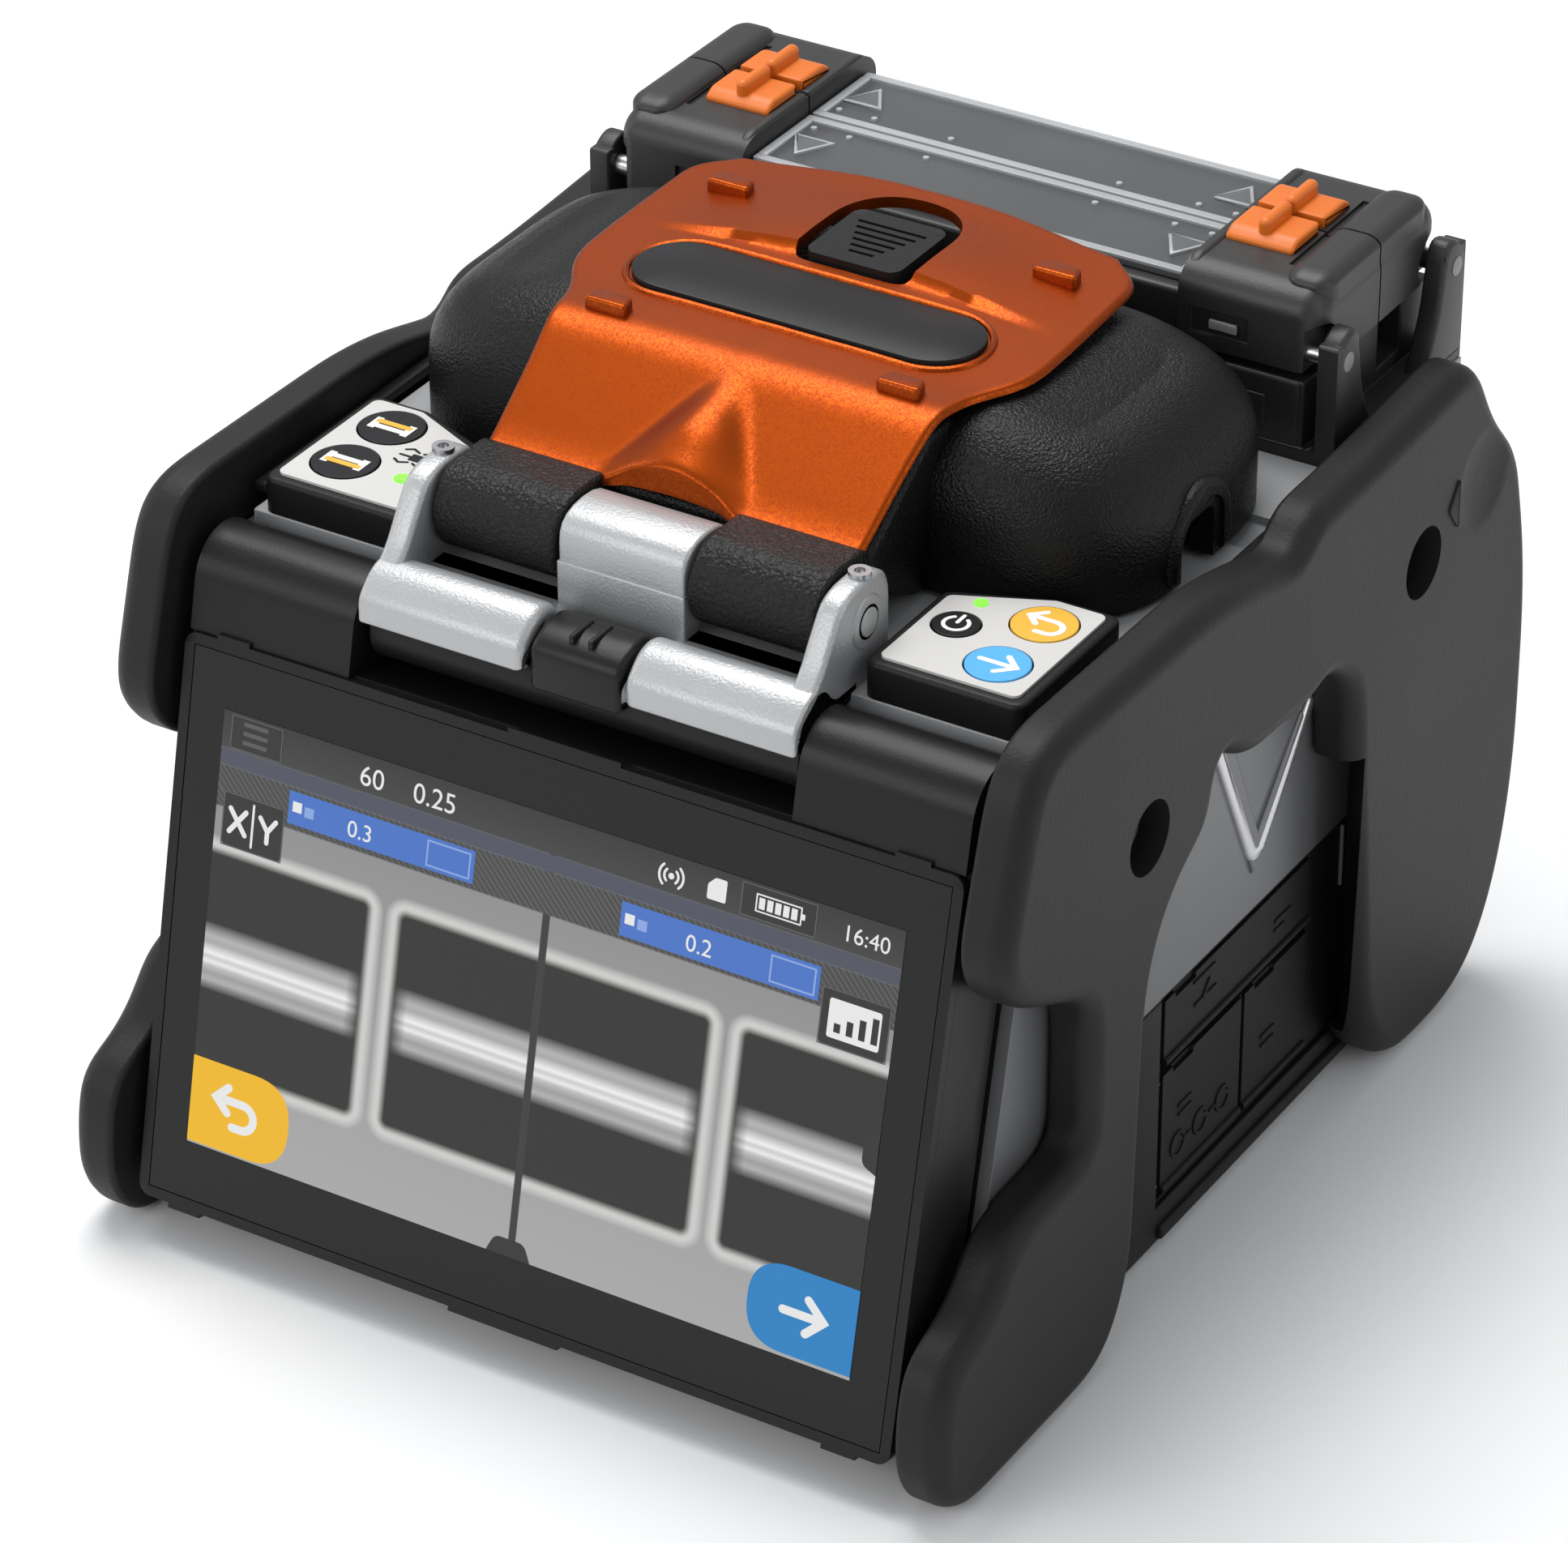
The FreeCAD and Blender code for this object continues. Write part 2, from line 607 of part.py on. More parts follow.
def make_top_deck():
    body = new_body("top_deck")
    slab(body, "deck_sheet", (-z.shell_half, z.deck_front, z.deck_under),
         (z.shell_half, z.rear_y, z.deck_z))
    slot(body, "deck_well", (-z.well_half, z.well_front, z.deck_under - 1),
         (z.well_half, z.well_rear, z.deck_z + 1))
    for side, low, high in both_sides(z.shell_half - 5.5, z.shell_half + 1):
        slot(body, f"deck_step_{side}", (low, 13, z.deck_z - 1.2), (high, 22, z.deck_z + 1))
    return body


nodes.append(make_top_deck())


# ---------------------------------------------------------------- monitor hinge and bracket

def make_hinge_barrel():
    body = new_body("monitor_hinge_barrel")
    half = z.bracket_half - 1
    web = [(z.tilt_y, z.tilt_z - 4.0), (z.deck_front - 0.1, z.tilt_z - 4.0),
           (z.deck_front - 0.1, z.tilt_z + 3.4), (z.tilt_y, z.tilt_z + 3.4)]
    pad(body, "barrel_web", "YZ_Plane", -half, half * 2, [web])
    rod(body, "barrel_round", "x", -half, half * 2, (z.tilt_y, z.tilt_z), z.barrel_radius)
    bore(body, "barrel_bore", "x", -half, half * 2, (z.tilt_y, z.tilt_z), z.tilt_pin_radius)
    return body


nodes.append(make_hinge_barrel())


def make_monitor_pin():
    body = new_body("monitor_hinge_pin")
    half = z.panel_wide / 2 - 2
    rod(body, "tilt_pin", "x", -half, half * 2, (z.tilt_y, z.tilt_z), z.tilt_pin_radius)
    return body


nodes.append(make_monitor_pin())


def make_hinge_bracket():
    body = new_body("hinge_bracket")
    half = z.bracket_half
    foot = [(-62.3, 99.1), (-62.3, 102.0), (-60.6, 104.2), (-55.8, 106.6), (-53.4, 106.2),
            (-51.6, 103.6), (-37.4, 103.6), (-37.4, z.deck_z), (z.deck_front - 0.2, z.deck_z),
            (z.deck_front - 0.2, z.tilt_z + 3.6), (-60.8, z.tilt_z + 3.6), (-60.8, 99.1)]
    pad(body, "bracket_foot", "YZ_Plane", -half, half * 2, [foot])
    soften(body, "bracket_foot_round", 1.6,
           lambda middle, way: along(way, "x") and middle.z > 103.9 and middle.y < -52)
    ear = [(-62.3, 99.6), (-56.7, 105.5), (-51.4, 113.0), (-48.3, 115.6), (-43.0, 117.0),
           (-38.6, 117.0), (-37.4, 115.0), (-37.4, 103.0), (z.deck_front, 103.0), (-55.0, 103.0)]
    for side, low, high in both_sides(half - z.ear_thick, half):
        pad(body, f"bracket_ear_{side}", "YZ_Plane", low, high - low, [ear])
        soften(body, f"bracket_ear_round_{side}", 1.2,
               lambda middle, way: along(way, "x") and middle.z > 112
               and number(low) < middle.x < number(high))
    block = [(-49.6, 103.0), (-49.6, z.cover_z), (-37.8, z.cover_z), (-37.8, 103.0)]
    pad(body, "bracket_block", "YZ_Plane", -z.block_half, z.block_half * 2, [block])
    rod(body, "bracket_block_round", "x", -z.block_half, z.block_half * 2,
        (z.cover_y, z.cover_z), z.arm_radius - 0.2)
    bore(body, "bracket_barrel_room", "x", -half, half * 2, (z.tilt_y, z.tilt_z),
         z.barrel_radius + z.free_gap)
    slot(body, "bracket_latch_room", (-z.latch_half - 0.4, -63, 98), (z.latch_half + 0.4, -51.4, 108))
    bore(body, "bracket_shaft_bore", "x", -half, half * 2, (z.cover_y, z.cover_z),
         z.cover_pin_radius)
    return body


nodes.append(make_hinge_bracket())


def make_cover_shaft():
    body = new_body("cover_hinge_shaft")
    rod(body, "cover_shaft", "x", -z.bracket_half, z.bracket_half * 2, (z.cover_y, z.cover_z),
        z.cover_pin_radius)
    return body


nodes.append(make_cover_shaft())


def make_set_screws():
    members = []
    for side, low, high in both_sides(z.bracket_half - z.ear_thick, z.bracket_half):
        body = piece(f"set_screw_{side}")
        middle = (low + high) / 2
        rod(body, body.Label + "_head", "z", 117.0, 0.8, (middle, z.cover_y + 1), 1.6)
        bore(body, body.Label + "_socket", "z", 117.2, 0.7, (middle, z.cover_y + 1), 0.8)
        members.append(body)
    return group("bracket_set_screws", members)


nodes.append(make_set_screws())


def make_centre_latch():
    body = new_body("centre_latch")
    profile = [(-61.9, 96.9), (-61.9, 102.6), (-56.4, 105.2), (-52.0, 105.2), (-52.0, 102.4),
               (-60.7, 102.2), (-60.7, 96.9)]
    pad(body, "latch_body", "YZ_Plane", -z.latch_half, z.latch_half * 2, [profile])
    for index, y in enumerate((-55.6, -53.9)):
        slab(body, f"latch_ridge_{index}", (-z.latch_half + 2, y, 105.1), (z.latch_half - 2, y + 0.8, 106))
    return body


nodes.append(make_centre_latch())


# ---------------------------------------------------------------- monitor

def lean_with_monitor(body):
    """The monitor's pieces are drawn upright about its hinge axis, then leaned."""
    stage_place(body, (0, z.tilt_y, z.tilt_z), -z.panel_tilt)
    return body


def make_monitor_shell():
    body = new_body("monitor_shell")
    half = z.panel_wide / 2
    low = -(z.panel_top + z.panel_high)
    face = -(z.panel_front - z.bezel_thick)
    slab(body, "shell_block", (-half, face, low), (half, z.monitor_back, -z.panel_top + 0.3))
    slot(body, "shell_hollow", (-half + 2.5, face - 1, low + 2.5),
         (half - 2.5, z.monitor_back - 2, -z.panel_top - 2.5))
    for side, near, far in both_sides(z.bracket_half + 0.3, half - 0.3):
        slab(body, f"shoulder_neck_{side}", (near, -z.shoulder_radius, -z.panel_top + 0.1),
             (far, z.monitor_back, 0))
        rod(body, f"shoulder_{side}", "x", near, far - near, (0, 0), z.shoulder_radius)
    bore(body, "shoulder_bore", "x", -half, half * 2, (0, 0), z.tilt_pin_radius + z.running_gap)
    soften(body, "shell_corners", 2.0,
           lambda middle, way: along(way, "y") and middle.z < number(low) + 0.1)
    return lean_with_monitor(body)


nodes.append(make_monitor_shell())


def make_monitor_bezel():
    body = new_body("monitor_bezel")
    half = z.panel_wide / 2
    low = -(z.panel_top + z.panel_high)
    face = -z.panel_front
    slab(body, "bezel_plate", (-half, face, low), (half, face + z.bezel_thick - 0.05, -z.panel_top))
    soften(body, "bezel_corners", 2.0, lambda middle, way: along(way, "y"))
    slot(body, "bezel_rebate", (-half + 1.6, face - 1, low + 1.6),
         (half - 1.6, face + z.glass_thick + 0.1, -z.panel_top - 1.6))
    slot(body, "bezel_window", (-z.screen_wide / 2 - 1, face - 1, low + z.screen_foot - 1),
         (z.screen_wide / 2 + 1, face + z.bezel_thick + 1, low + z.screen_foot + z.screen_high + 1))
    for index, (left, right) in enumerate(((-56.8, -51.4), (-9, 9), (51.4, 56.8))):
        slab(body, f"bezel_tab_{index}", (left, face, -z.panel_top - 0.5),
             (right, face + 0.5, -z.panel_top + 0.7))
        slab(body, f"bezel_foot_tab_{index}", (left, face, low - 0.7), (right, face + 1.2, low + 0.5))
    return lean_with_monitor(body)


nodes.append(make_monitor_bezel())


def make_touch_glass():
    body = new_body("touch_glass")
    half = z.panel_wide / 2 - 1.75
    low = -(z.panel_top + z.panel_high) + 1.75
    face = -z.panel_front
    slab(body, "glass_sheet", (-half, face + 0.05, low),
         (half, face + 0.05 + z.glass_thick, -z.panel_top - 1.75))
    return lean_with_monitor(body)


nodes.append(make_touch_glass())


def make_display_module():
    body = new_body("display_module")
    low = -(z.panel_top + z.panel_high) + z.screen_foot
    back = -(z.panel_front - z.bezel_thick)
    slab(body, "display_block", (-z.screen_wide / 2 - 3, back, low - 3),
         (z.screen_wide / 2 + 3, back + 4, low + z.screen_high + 3))
    slab(body, "display_face", (-z.screen_wide / 2, back - 0.45, low),
         (z.screen_wide / 2, back + 0.5, low + z.screen_high))
    return lean_with_monitor(body)


nodes.append(make_display_module())


# ---------------------------------------------------------------- button boxes

BUTTONS_RIGHT = [("power_button", 42.6, -33.9, 3.3), ("reset_button", 52.7, -27.9, 4.6),
                 ("set_button", 52.5, -40.0, 4.5)]
BUTTONS_LEFT = [("heater_button_front", -52.3, -39.0, 4.8),
                ("heater_button_rear", -52.2, -27.6, 4.8)]
LAMPS_RIGHT = [(42.7, -27.4, 1.0)]
LAMPS_LEFT = [(-42.8, -39.0, 1.2)]
BUTTON_GAP = 0.25


def box_outline(side, inset):
    inner, outer = z.box_inner + inset, z.box_outer - inset
    front = z.deck_front + 0.2 + inset
    corners = [(inner, front), (outer, front), (outer, -20.0 - inset),
               (51.0, -20.0 - inset), (inner, -26.0 - inset)]
    return corners if side > 0 else [(-a, b) for a, b in corners]


def make_button_box(name, side, buttons, lamps):
    body = new_body(name)
    pad(body, name + "_block", "XY_Plane", z.deck_z, z.box_high, [box_outline(side, 0)])
    soften(body, name + "_corners", 2.0, lambda middle, way: along(way, "z"))
    soften(body, name + "_top", 0.8, lambda middle, way: abs(middle.z - number(z.box_top)) < 0.01)
    for button, x, y, radius in buttons:
        bore(body, f"{button}_well", "z", z.deck_z + 2, z.box_high, (x, y), radius + BUTTON_GAP)
    for index, (x, y, radius) in enumerate(lamps):
        bore(body, f"{name}_lamp_{index}", "z", z.deck_z + 3, z.box_high, (x, y), radius)
    return body


def make_label(name, side, buttons, lamps):
    body = new_body(name)
    pad(body, name + "_sheet", "XY_Plane", z.box_top, z.label_thick, [box_outline(side, 1.6)])
    soften(body, name + "_corners", 1.2, lambda middle, way: along(way, "z"))
    for index, (button, x, y, radius) in enumerate(buttons):
        bore(body, f"{name}_hole_{index}", "z", z.box_top - 1, 3, (x, y), radius + BUTTON_GAP)
    for index, (x, y, radius) in enumerate(lamps):
        bore(body, f"{name}_lamp_{index}", "z", z.box_top - 1, 3, (x, y), radius)
    return body


def make_button(name, x, y, radius):
    body = new_body(name)
    low = z.deck_z + 2 + z.button_travel + 0.4
    rod(body, name + "_cap", "z", low, z.label_top + 0.15 - low, (x, y), radius)
    soften(body, name + "_edge", 0.15, lambda middle, way: middle.z > number(z.label_top) + 0.1)
    return body


nodes.append(make_button_box("button_box_right", 1, BUTTONS_RIGHT, LAMPS_RIGHT))
nodes.append(make_button_box("button_box_left", -1, BUTTONS_LEFT, LAMPS_LEFT))
nodes.append(make_label("button_label_right", 1, BUTTONS_RIGHT, LAMPS_RIGHT))
nodes.append(make_label("button_label_left", -1, BUTTONS_LEFT, LAMPS_LEFT))
for button in BUTTONS_RIGHT + BUTTONS_LEFT:
    nodes.append(make_button(*button))


def make_status_lamps():
    members = []
    for index, (x, y, radius) in enumerate(LAMPS_RIGHT + LAMPS_LEFT):
        body = piece(f"status_lamp_{index}")
        rod(body, body.Label + "_lens", "z", z.deck_z + 3, z.label_top + 0.2 - z.deck_z - 3,
            (x, y), radius)
        members.append(body)
    return group("status_lamps", members)


nodes.append(make_status_lamps())


# ---------------------------------------------------------------- wind cover


def make_cover_shell():
    body = new_body("cover_shell")
    half = z.dome_half
    slab(body, "lobes", (-half, z.dome_front, z.cover_foot), (half, z.dome_rear, z.lobe_top))
    soften(body, "lobe_corners", 14.0, lambda middle, way: along(way, "z"))
    soften(body, "lobe_tops", 11.0, lambda middle, way: abs(middle.z - number(z.lobe_top)) < 0.01)
    hump = [(-37.1, 114.6), (-19.2, 126.5), (z.dome_rear - 1, z.dome_top + 0.7),
            (z.dome_rear - 1, z.cover_foot + 4), (z.dome_front + 2, z.cover_foot + 4),
            (z.dome_front + 2, 110.5), (-37.1, 110.5)]
    pad(body, "hump", "YZ_Plane", -z.hump_half, z.hump_half * 2, [hump])
    corner = [(-z.hump_half - 1, -38), (-z.arm_outer, -38), (-z.arm_outer, -13),
              (-z.hump_half - 1, -6)]
    for side, corners in (("left", corner), ("right", [(-a, b) for a, b in corner])):
        cut(body, f"hump_flare_{side}", "XY_Plane", z.lobe_top, 12, [corners])
        front = [(a, b) for a, b in corners]
        front[2] = (front[2][0], z.dome_front - 0.1)
        front[3] = (front[3][0], z.dome_front - 0.1)
        cut(body, f"hump_front_{side}", "XY_Plane", 100, 30, [front])
    soften(body, "hump_sides", 1.5,
           lambda middle, way: along(way, "y", 0.98) and middle.z > 123 and abs(middle.x) > 20)
    for side, low, high in both_sides(z.arm_inner, z.arm_outer - 0.1):
        arm = [(z.cover_y, 107.2), (-36.0, 108.5), (-36.0, 113.9), (-37.6, 113.9),
               (-37.6, 117.2), (z.cover_y, z.cover_z + z.arm_radius)]
        pad(body, f"arm_{side}", "YZ_Plane", low, high - low, [arm])
        rod(body, f"arm_round_{side}", "x", low, high - low, (z.cover_y, z.cover_z), z.arm_radius)
    bore(body, "arm_bore", "x", -half, half * 2, (z.cover_y, z.cover_z),
         z.cover_pin_radius + z.running_gap)
    slot(body, "lobe_hollow", (-half + z.dome_wall, z.dome_front + z.dome_wall, z.cover_foot - 1),
         (half - z.dome_wall, z.dome_rear - z.dome_wall, z.cover_foot + 8))
    slot(body, "lobe_hollow_top", (-half + 7.5, z.dome_front + 7.5, z.cover_foot),
         (half - 7.5, z.dome_rear - 7.5, z.lobe_top - z.dome_wall))
    slot(body, "hump_hollow", (-z.hump_half + z.dome_wall, -15.5, z.cover_foot),
         (z.hump_half - z.dome_wall, z.dome_rear - 7.5, z.dome_top - 3.4))
    for side, low, high in both_sides(half - 9, half + 1):
        slot(body, f"fibre_entry_{side}", (low, z.splice_y - 4.5, z.cover_foot - 1),
             (high, z.splice_y + 4.5, z.cover_foot + 9))
    slot(body, "latch_slot", (-3, 13.5, z.dome_top - 5), (3, 22.5, z.dome_top + 3))
    return body


nodes.append(make_cover_shell())

PLATE_PLAN = [(-29.6, -38), (29.6, -38), (30.6, -20.5), (31.5, -12), (36.6, -5), (37.0, 0),
              (36.4, 26), (29, 31.5), (13, 33.6), (0, 35), (-13, 33.6), (-29, 31.5),
              (-36.4, 26), (-37.0, 0), (-36.6, -5), (-31.5, -12), (-30.6, -20.5)]
WINDOW_PLAN = [(-9.5, 9.2), (9.5, 9.2), (9.5, 24), (7.4, 28.6), (3.4, 31.4), (-3.4, 31.4),
               (-7.4, 28.6), (-9.5, 24)]
BADGE_ROUND = 7.2
BADGE_CENTRE_Y = -1.4


def plate_outline():
    thick = z.plate_thick
    return [(-37.5, 114.8), (-37.5, 114.6 + thick), (-19.7, 126.5 + thick),
            (35.2, z.dome_top + 0.8 + thick), (35.2, z.dome_top + 0.85),
            (-19.2, 126.55)]


def stadium(half, round_by, centre_y, count=8):
    """A long hole's outline: two half circles joined by straight sides."""
    corners = []
    for end in (1, -1):
        for index in range(count + 1):
            turn = math.radians(-90 + 180 * index / count)
            corners.append((end * (half - round_by + round_by * math.cos(turn)),
                            centre_y + end * round_by * math.sin(turn)))
    return corners


def make_cover_plate():
    body = new_body("cover_plate")
    pad(body, "plate_sheet", "YZ_Plane", -37.2, 74.4, [plate_outline()])
    frame = rectangle(-45, 45, -45, 45)
    cut(body, "plate_plan", "XY_Plane", 100, 40, [frame, PLATE_PLAN])
    arch = [(-10.4, -39), (10.4, -39), (9.0, -36.2), (5.0, -34.2), (-5.0, -34.2), (-9.0, -36.2)]
    cut(body, "plate_arch", "XY_Plane", 100, 40, [arch])
    cut(body, "plate_window", "XY_Plane", 120, 20, [WINDOW_PLAN])
    cut(body, "plate_badge_seat", "XY_Plane", z.badge_low, 5,
        [stadium(27.7, BADGE_ROUND + 0.2, BADGE_CENTRE_Y)])
    for index, (x, y, top) in enumerate(((23.3, -15.5, 131.9), (26.5, 21.6, 132.9))):
        for side in (-1, 1):
            slab(body, f"plate_bump_{index}_{side + 1}", (x * side - 3.2, y - 1.7, 128.6),
                 (x * side + 3.2, y + 1.7, top))
    return body


nodes.append(make_cover_plate())


def make_cover_badge():
    body = new_body("cover_badge")
    pad(body, "badge_sheet", "XY_Plane", z.badge_low, 1.4,
        [stadium(27.5, BADGE_ROUND, BADGE_CENTRE_Y)])
    return body


nodes.append(make_cover_badge())


def make_cover_latch():
    body = new_body("cover_latch")
    low = z.dome_top + 0.9
    slab(body, "slider", (-7.5, 9.6, low), (7.5, 24.8, low + 2.8))
    soften(body, "slider_corners", 2.0, lambda middle, way: along(way, "z"))
    for index in range(6):
        reach = 2.0 + index * 0.7
        slot(body, f"slider_grip_{index}", (-reach, 12.5 + index * 1.7, low + 2.4),
             (reach, 13.2 + index * 1.7, low + 4))
    slab(body, "slider_stem", (-2.5, 14, z.dome_top - 6), (2.5, 18, low + 1))
    slab(body, "slider_hook", (-2.5, 14, z.dome_top - 8), (2.5, 20, z.dome_top - 6))
    return body


nodes.append(make_cover_latch())


# ---------------------------------------------------------------- splice chamber

def make_stage_base():
    body = new_body("stage_base")
    half, gap = z.well_half, z.free_gap
    slab(body, "stage_block", (-half + gap, z.well_front + gap, z.stage_low),
         (half - gap, z.well_rear - gap, z.deck_under))
    slot(body, "stage_hollow", (-half + gap + 2, z.well_front + gap + 2, z.stage_floor),
         (half - gap - 2, z.well_rear - gap - 2, z.deck_under + 1))
    for side, low, high in both_sides(half - 4, half + 4):
        slab(body, f"stage_flange_{side}", (low, z.well_front + 4, z.deck_under - 2),
             (high, z.well_rear - 4, z.deck_under))
    slot(body, "stage_hollow_top", (-half + gap + 2, z.well_front + gap + 2, z.stage_floor + 5),
         (half - gap - 2, z.well_rear - gap - 2, z.deck_under + 1))
    return body


nodes.append(make_stage_base())


def make_v_grooves():
    members = []
    for side, low, high in both_sides(4, 13):
        body = piece(f"v_groove_{side}")
        slab(body, body.Label + "_block", (low, z.splice_y - 5, z.stage_floor),
             (high, z.splice_y + 5, z.splice_z))
        vee = [(z.splice_y - 2.4, z.splice_z + 0.2), (z.splice_y, z.splice_z - 2.2),
               (z.splice_y + 2.4, z.splice_z + 0.2)]
        cut(body, body.Label + "_vee", "YZ_Plane", low - 1, high - low + 2, [vee])
        members.append(body)
    return group("v_grooves", members)


nodes.append(make_v_grooves())


def make_electrodes():
    holders, needles = [], []
    for end, sign in (("front", -1), ("rear", 1)):
        holder = piece(f"electrode_holder_{end}")
        near = z.splice_y + sign * 3.2 if sign > 0 else z.splice_y - 11
        far = z.splice_y + 11 if sign > 0 else z.splice_y - 3.2
        slab(holder, holder.Label + "_block", (-3, near, z.stage_floor), (3, far, z.splice_z + 2.5))
        bore(holder, holder.Label + "_bore", "y", -far, far - near, (0, z.splice_z), 1.0)
        holders.append(holder)
        needle = piece(f"electrode_{end}")
        start = z.splice_y + 1.6 if sign > 0 else z.splice_y - 12
        stop = z.splice_y + 12 if sign > 0 else z.splice_y - 1.6
        rod(needle, needle.Label + "_rod", "y", -stop, stop - start, (0, z.splice_z), 0.95)
        tip = number(start) if sign > 0 else number(stop)
        soften(needle, needle.Label + "_tip", 0.85,
               lambda middle, way: abs(middle.y - tip) < 0.01, "PartDesign::Chamfer")
        needles.append(needle)
    return group("electrode_holders", holders), group("electrodes", needles)


nodes.extend(make_electrodes())


def make_under_stage():
    """Microscope tubes, cameras and fibre feed motors, hung under the splice stage."""
    tubes, cameras, motors = [], [], []
    for end, y in (("front", -7), ("rear", 19)):
        tube = piece(f"lens_barrel_{end}")
        rod(tube, tube.Label + "_tube", "z", z.stage_low - 7, 7, (0, y), 3.5)
        rod(tube, tube.Label + "_collar", "z", z.stage_low - 6, 1.5, (0, y), 4.3)
        tubes.append(tube)
        camera = piece(f"camera_{end}")
        slab(camera, camera.Label + "_block", (-6.5, y - 6, z.stage_low - 13), (6.5, y + 6, z.stage_low - 7))
        cameras.append(camera)
    for side, low, high in both_sides(16, 38):
        motor = piece(f"feed_motor_{side}")
        centre = (z.splice_y, z.stage_low - 7)
        rod(motor, motor.Label + "_can", "x", low, high - low, centre, 6)
        nose = low - 3 if side == "right" else high
        rod(motor, motor.Label + "_nose", "x", nose, 3, centre, 2)
        slab(motor, motor.Label + "_foot", (low + 4, z.splice_y - 5, z.stage_low - 4),
             (high - 4, z.splice_y + 5, z.stage_low))
        motors.append(motor)
    return (group("lens_barrels", tubes), group("camera_modules", cameras),
            group("feed_motors", motors))


nodes.extend(make_under_stage())


def make_sheath_bases():
    members = []
    for side, low, high in both_sides(z.clamp_inner, z.clamp_outer):
        body = piece(f"sheath_base_{side}")
        slab(body, body.Label + "_block", (low, z.splice_y - 6, z.stage_floor),
             (high, z.clamp_pin_y + 3, 103.2))
        for index, start in enumerate((low, high - 3)):
            slab(body, f"{body.Label}_ear_{index}", (start, z.clamp_pin_y - 2.6, 103),
                 (start + 3, z.clamp_pin_y + 3, z.clamp_pin_z + 2.4))
        bore(body, body.Label + "_bore", "x", low, high - low, (z.clamp_pin_y, z.clamp_pin_z),
             z.clamp_pin_radius + z.running_gap)
        members.append(body)
    return group("sheath_clamp_bases", members)


nodes.append(make_sheath_bases())


def make_sheath_lid(side, low, high):
    body = new_body(f"sheath_lid_{side}")
    rod(body, body.Label + "_knuckle", "x", low + 3.3, high - low - 6.6,
        (z.clamp_pin_y, z.clamp_pin_z), 2.3)
    slab(body, body.Label + "_plate", (low + 3.3, z.clamp_pin_y - 16, z.clamp_pin_z - 2.2),
         (high - 3.3, z.clamp_pin_y, z.clamp_pin_z + 0.8))
    slab(body, body.Label + "_wing", (low, z.clamp_pin_y - 16, z.clamp_pin_z - 2.2),
         (high, z.clamp_pin_y - z.wing_gap, z.clamp_pin_z + 0.8))
    rod(body, body.Label + "_pin", "x", low + 0.2, high - low - 0.4,
        (z.clamp_pin_y, z.clamp_pin_z), z.clamp_pin_radius)
    return body


for span in both_sides(z.clamp_inner, z.clamp_outer):
    nodes.append(make_sheath_lid(*span))


# ---------------------------------------------------------------- heater


def seam_mirror(span, mirrored):
    """A span of Y in front of the seam, or its mirror image behind it."""
    low, high = span
    return (z.lid_seam * 2 - high, z.lid_seam * 2 - low) if mirrored else span


def make_heater_trough():
    body = new_body("heater_trough")
    slab(body, "trough_foot", (-z.shell_half + 0.2, z.heater_front, z.deck_z),
         (z.shell_half - 0.2, z.lid_seam * 2 - z.heater_front, z.deck_z + 2))
    slab(body, "trough_block", (-56.4, z.heater_front + 0.4, z.deck_z),
         (56.4, z.lid_seam * 2 - z.heater_front - 0.4, z.trough_top))
    for index, mirrored in enumerate((False, True)):
        low, high = seam_mirror((z.lid_seam - 10.5, z.lid_seam - 3.5), mirrored)
        slot(body, f"sleeve_channel_{index}", (-58, low, z.channel_floor), (58, high, z.trough_top + 1))
        front, back = seam_mirror((z.heater_front, z.lid_pin_y + 3.4), mirrored)
        axis_y = z.rear_pin_y if mirrored else z.lid_pin_y
        for side, near, far in both_sides(z.heater_half + 0.4, z.shell_half - 0.2):
            slab(body, f"lug_{index}_{side}", (near, front, z.deck_z + 1), (far, back, z.lid_pin_z + 3))
            bore(body, f"lug_bore_{index}_{side}", "x", near, far - near, (axis_y, z.lid_pin_z),
                 z.lid_pin_radius)
    return body


nodes.append(make_heater_trough())


def make_heater_plates():
    members = []
    for end, mirrored in (("front", False), ("rear", True)):
        low, high = seam_mirror((z.lid_seam - 10.2, z.lid_seam - 3.8), mirrored)
        body = piece(f"heater_plate_{end}")
        slab(body, body.Label + "_sheet", (-32, low, z.channel_floor), (32, high, z.channel_floor + 1.6))
        slab(body, body.Label + "_rail", (-32, low, z.channel_floor + 1), (32, low + 1, z.channel_floor + 4))
        members.append(body)
    return group("heater_plates", members)


nodes.append(make_heater_plates())


def make_heater_pins():
    members = []
    for end, axis_y in (("front", z.lid_pin_y), ("rear", z.rear_pin_y)):
        for side, low, high in both_sides(z.heater_half - 5, z.shell_half - 0.2):
            body = piece(f"heater_pin_{end}_{side}")
            rod(body, body.Label + "_rod", "x", low, high - low, (axis_y, z.lid_pin_z),
                z.lid_pin_radius)
            members.append(body)
    return group("heater_hinge_pins", members)


nodes.append(make_heater_pins())


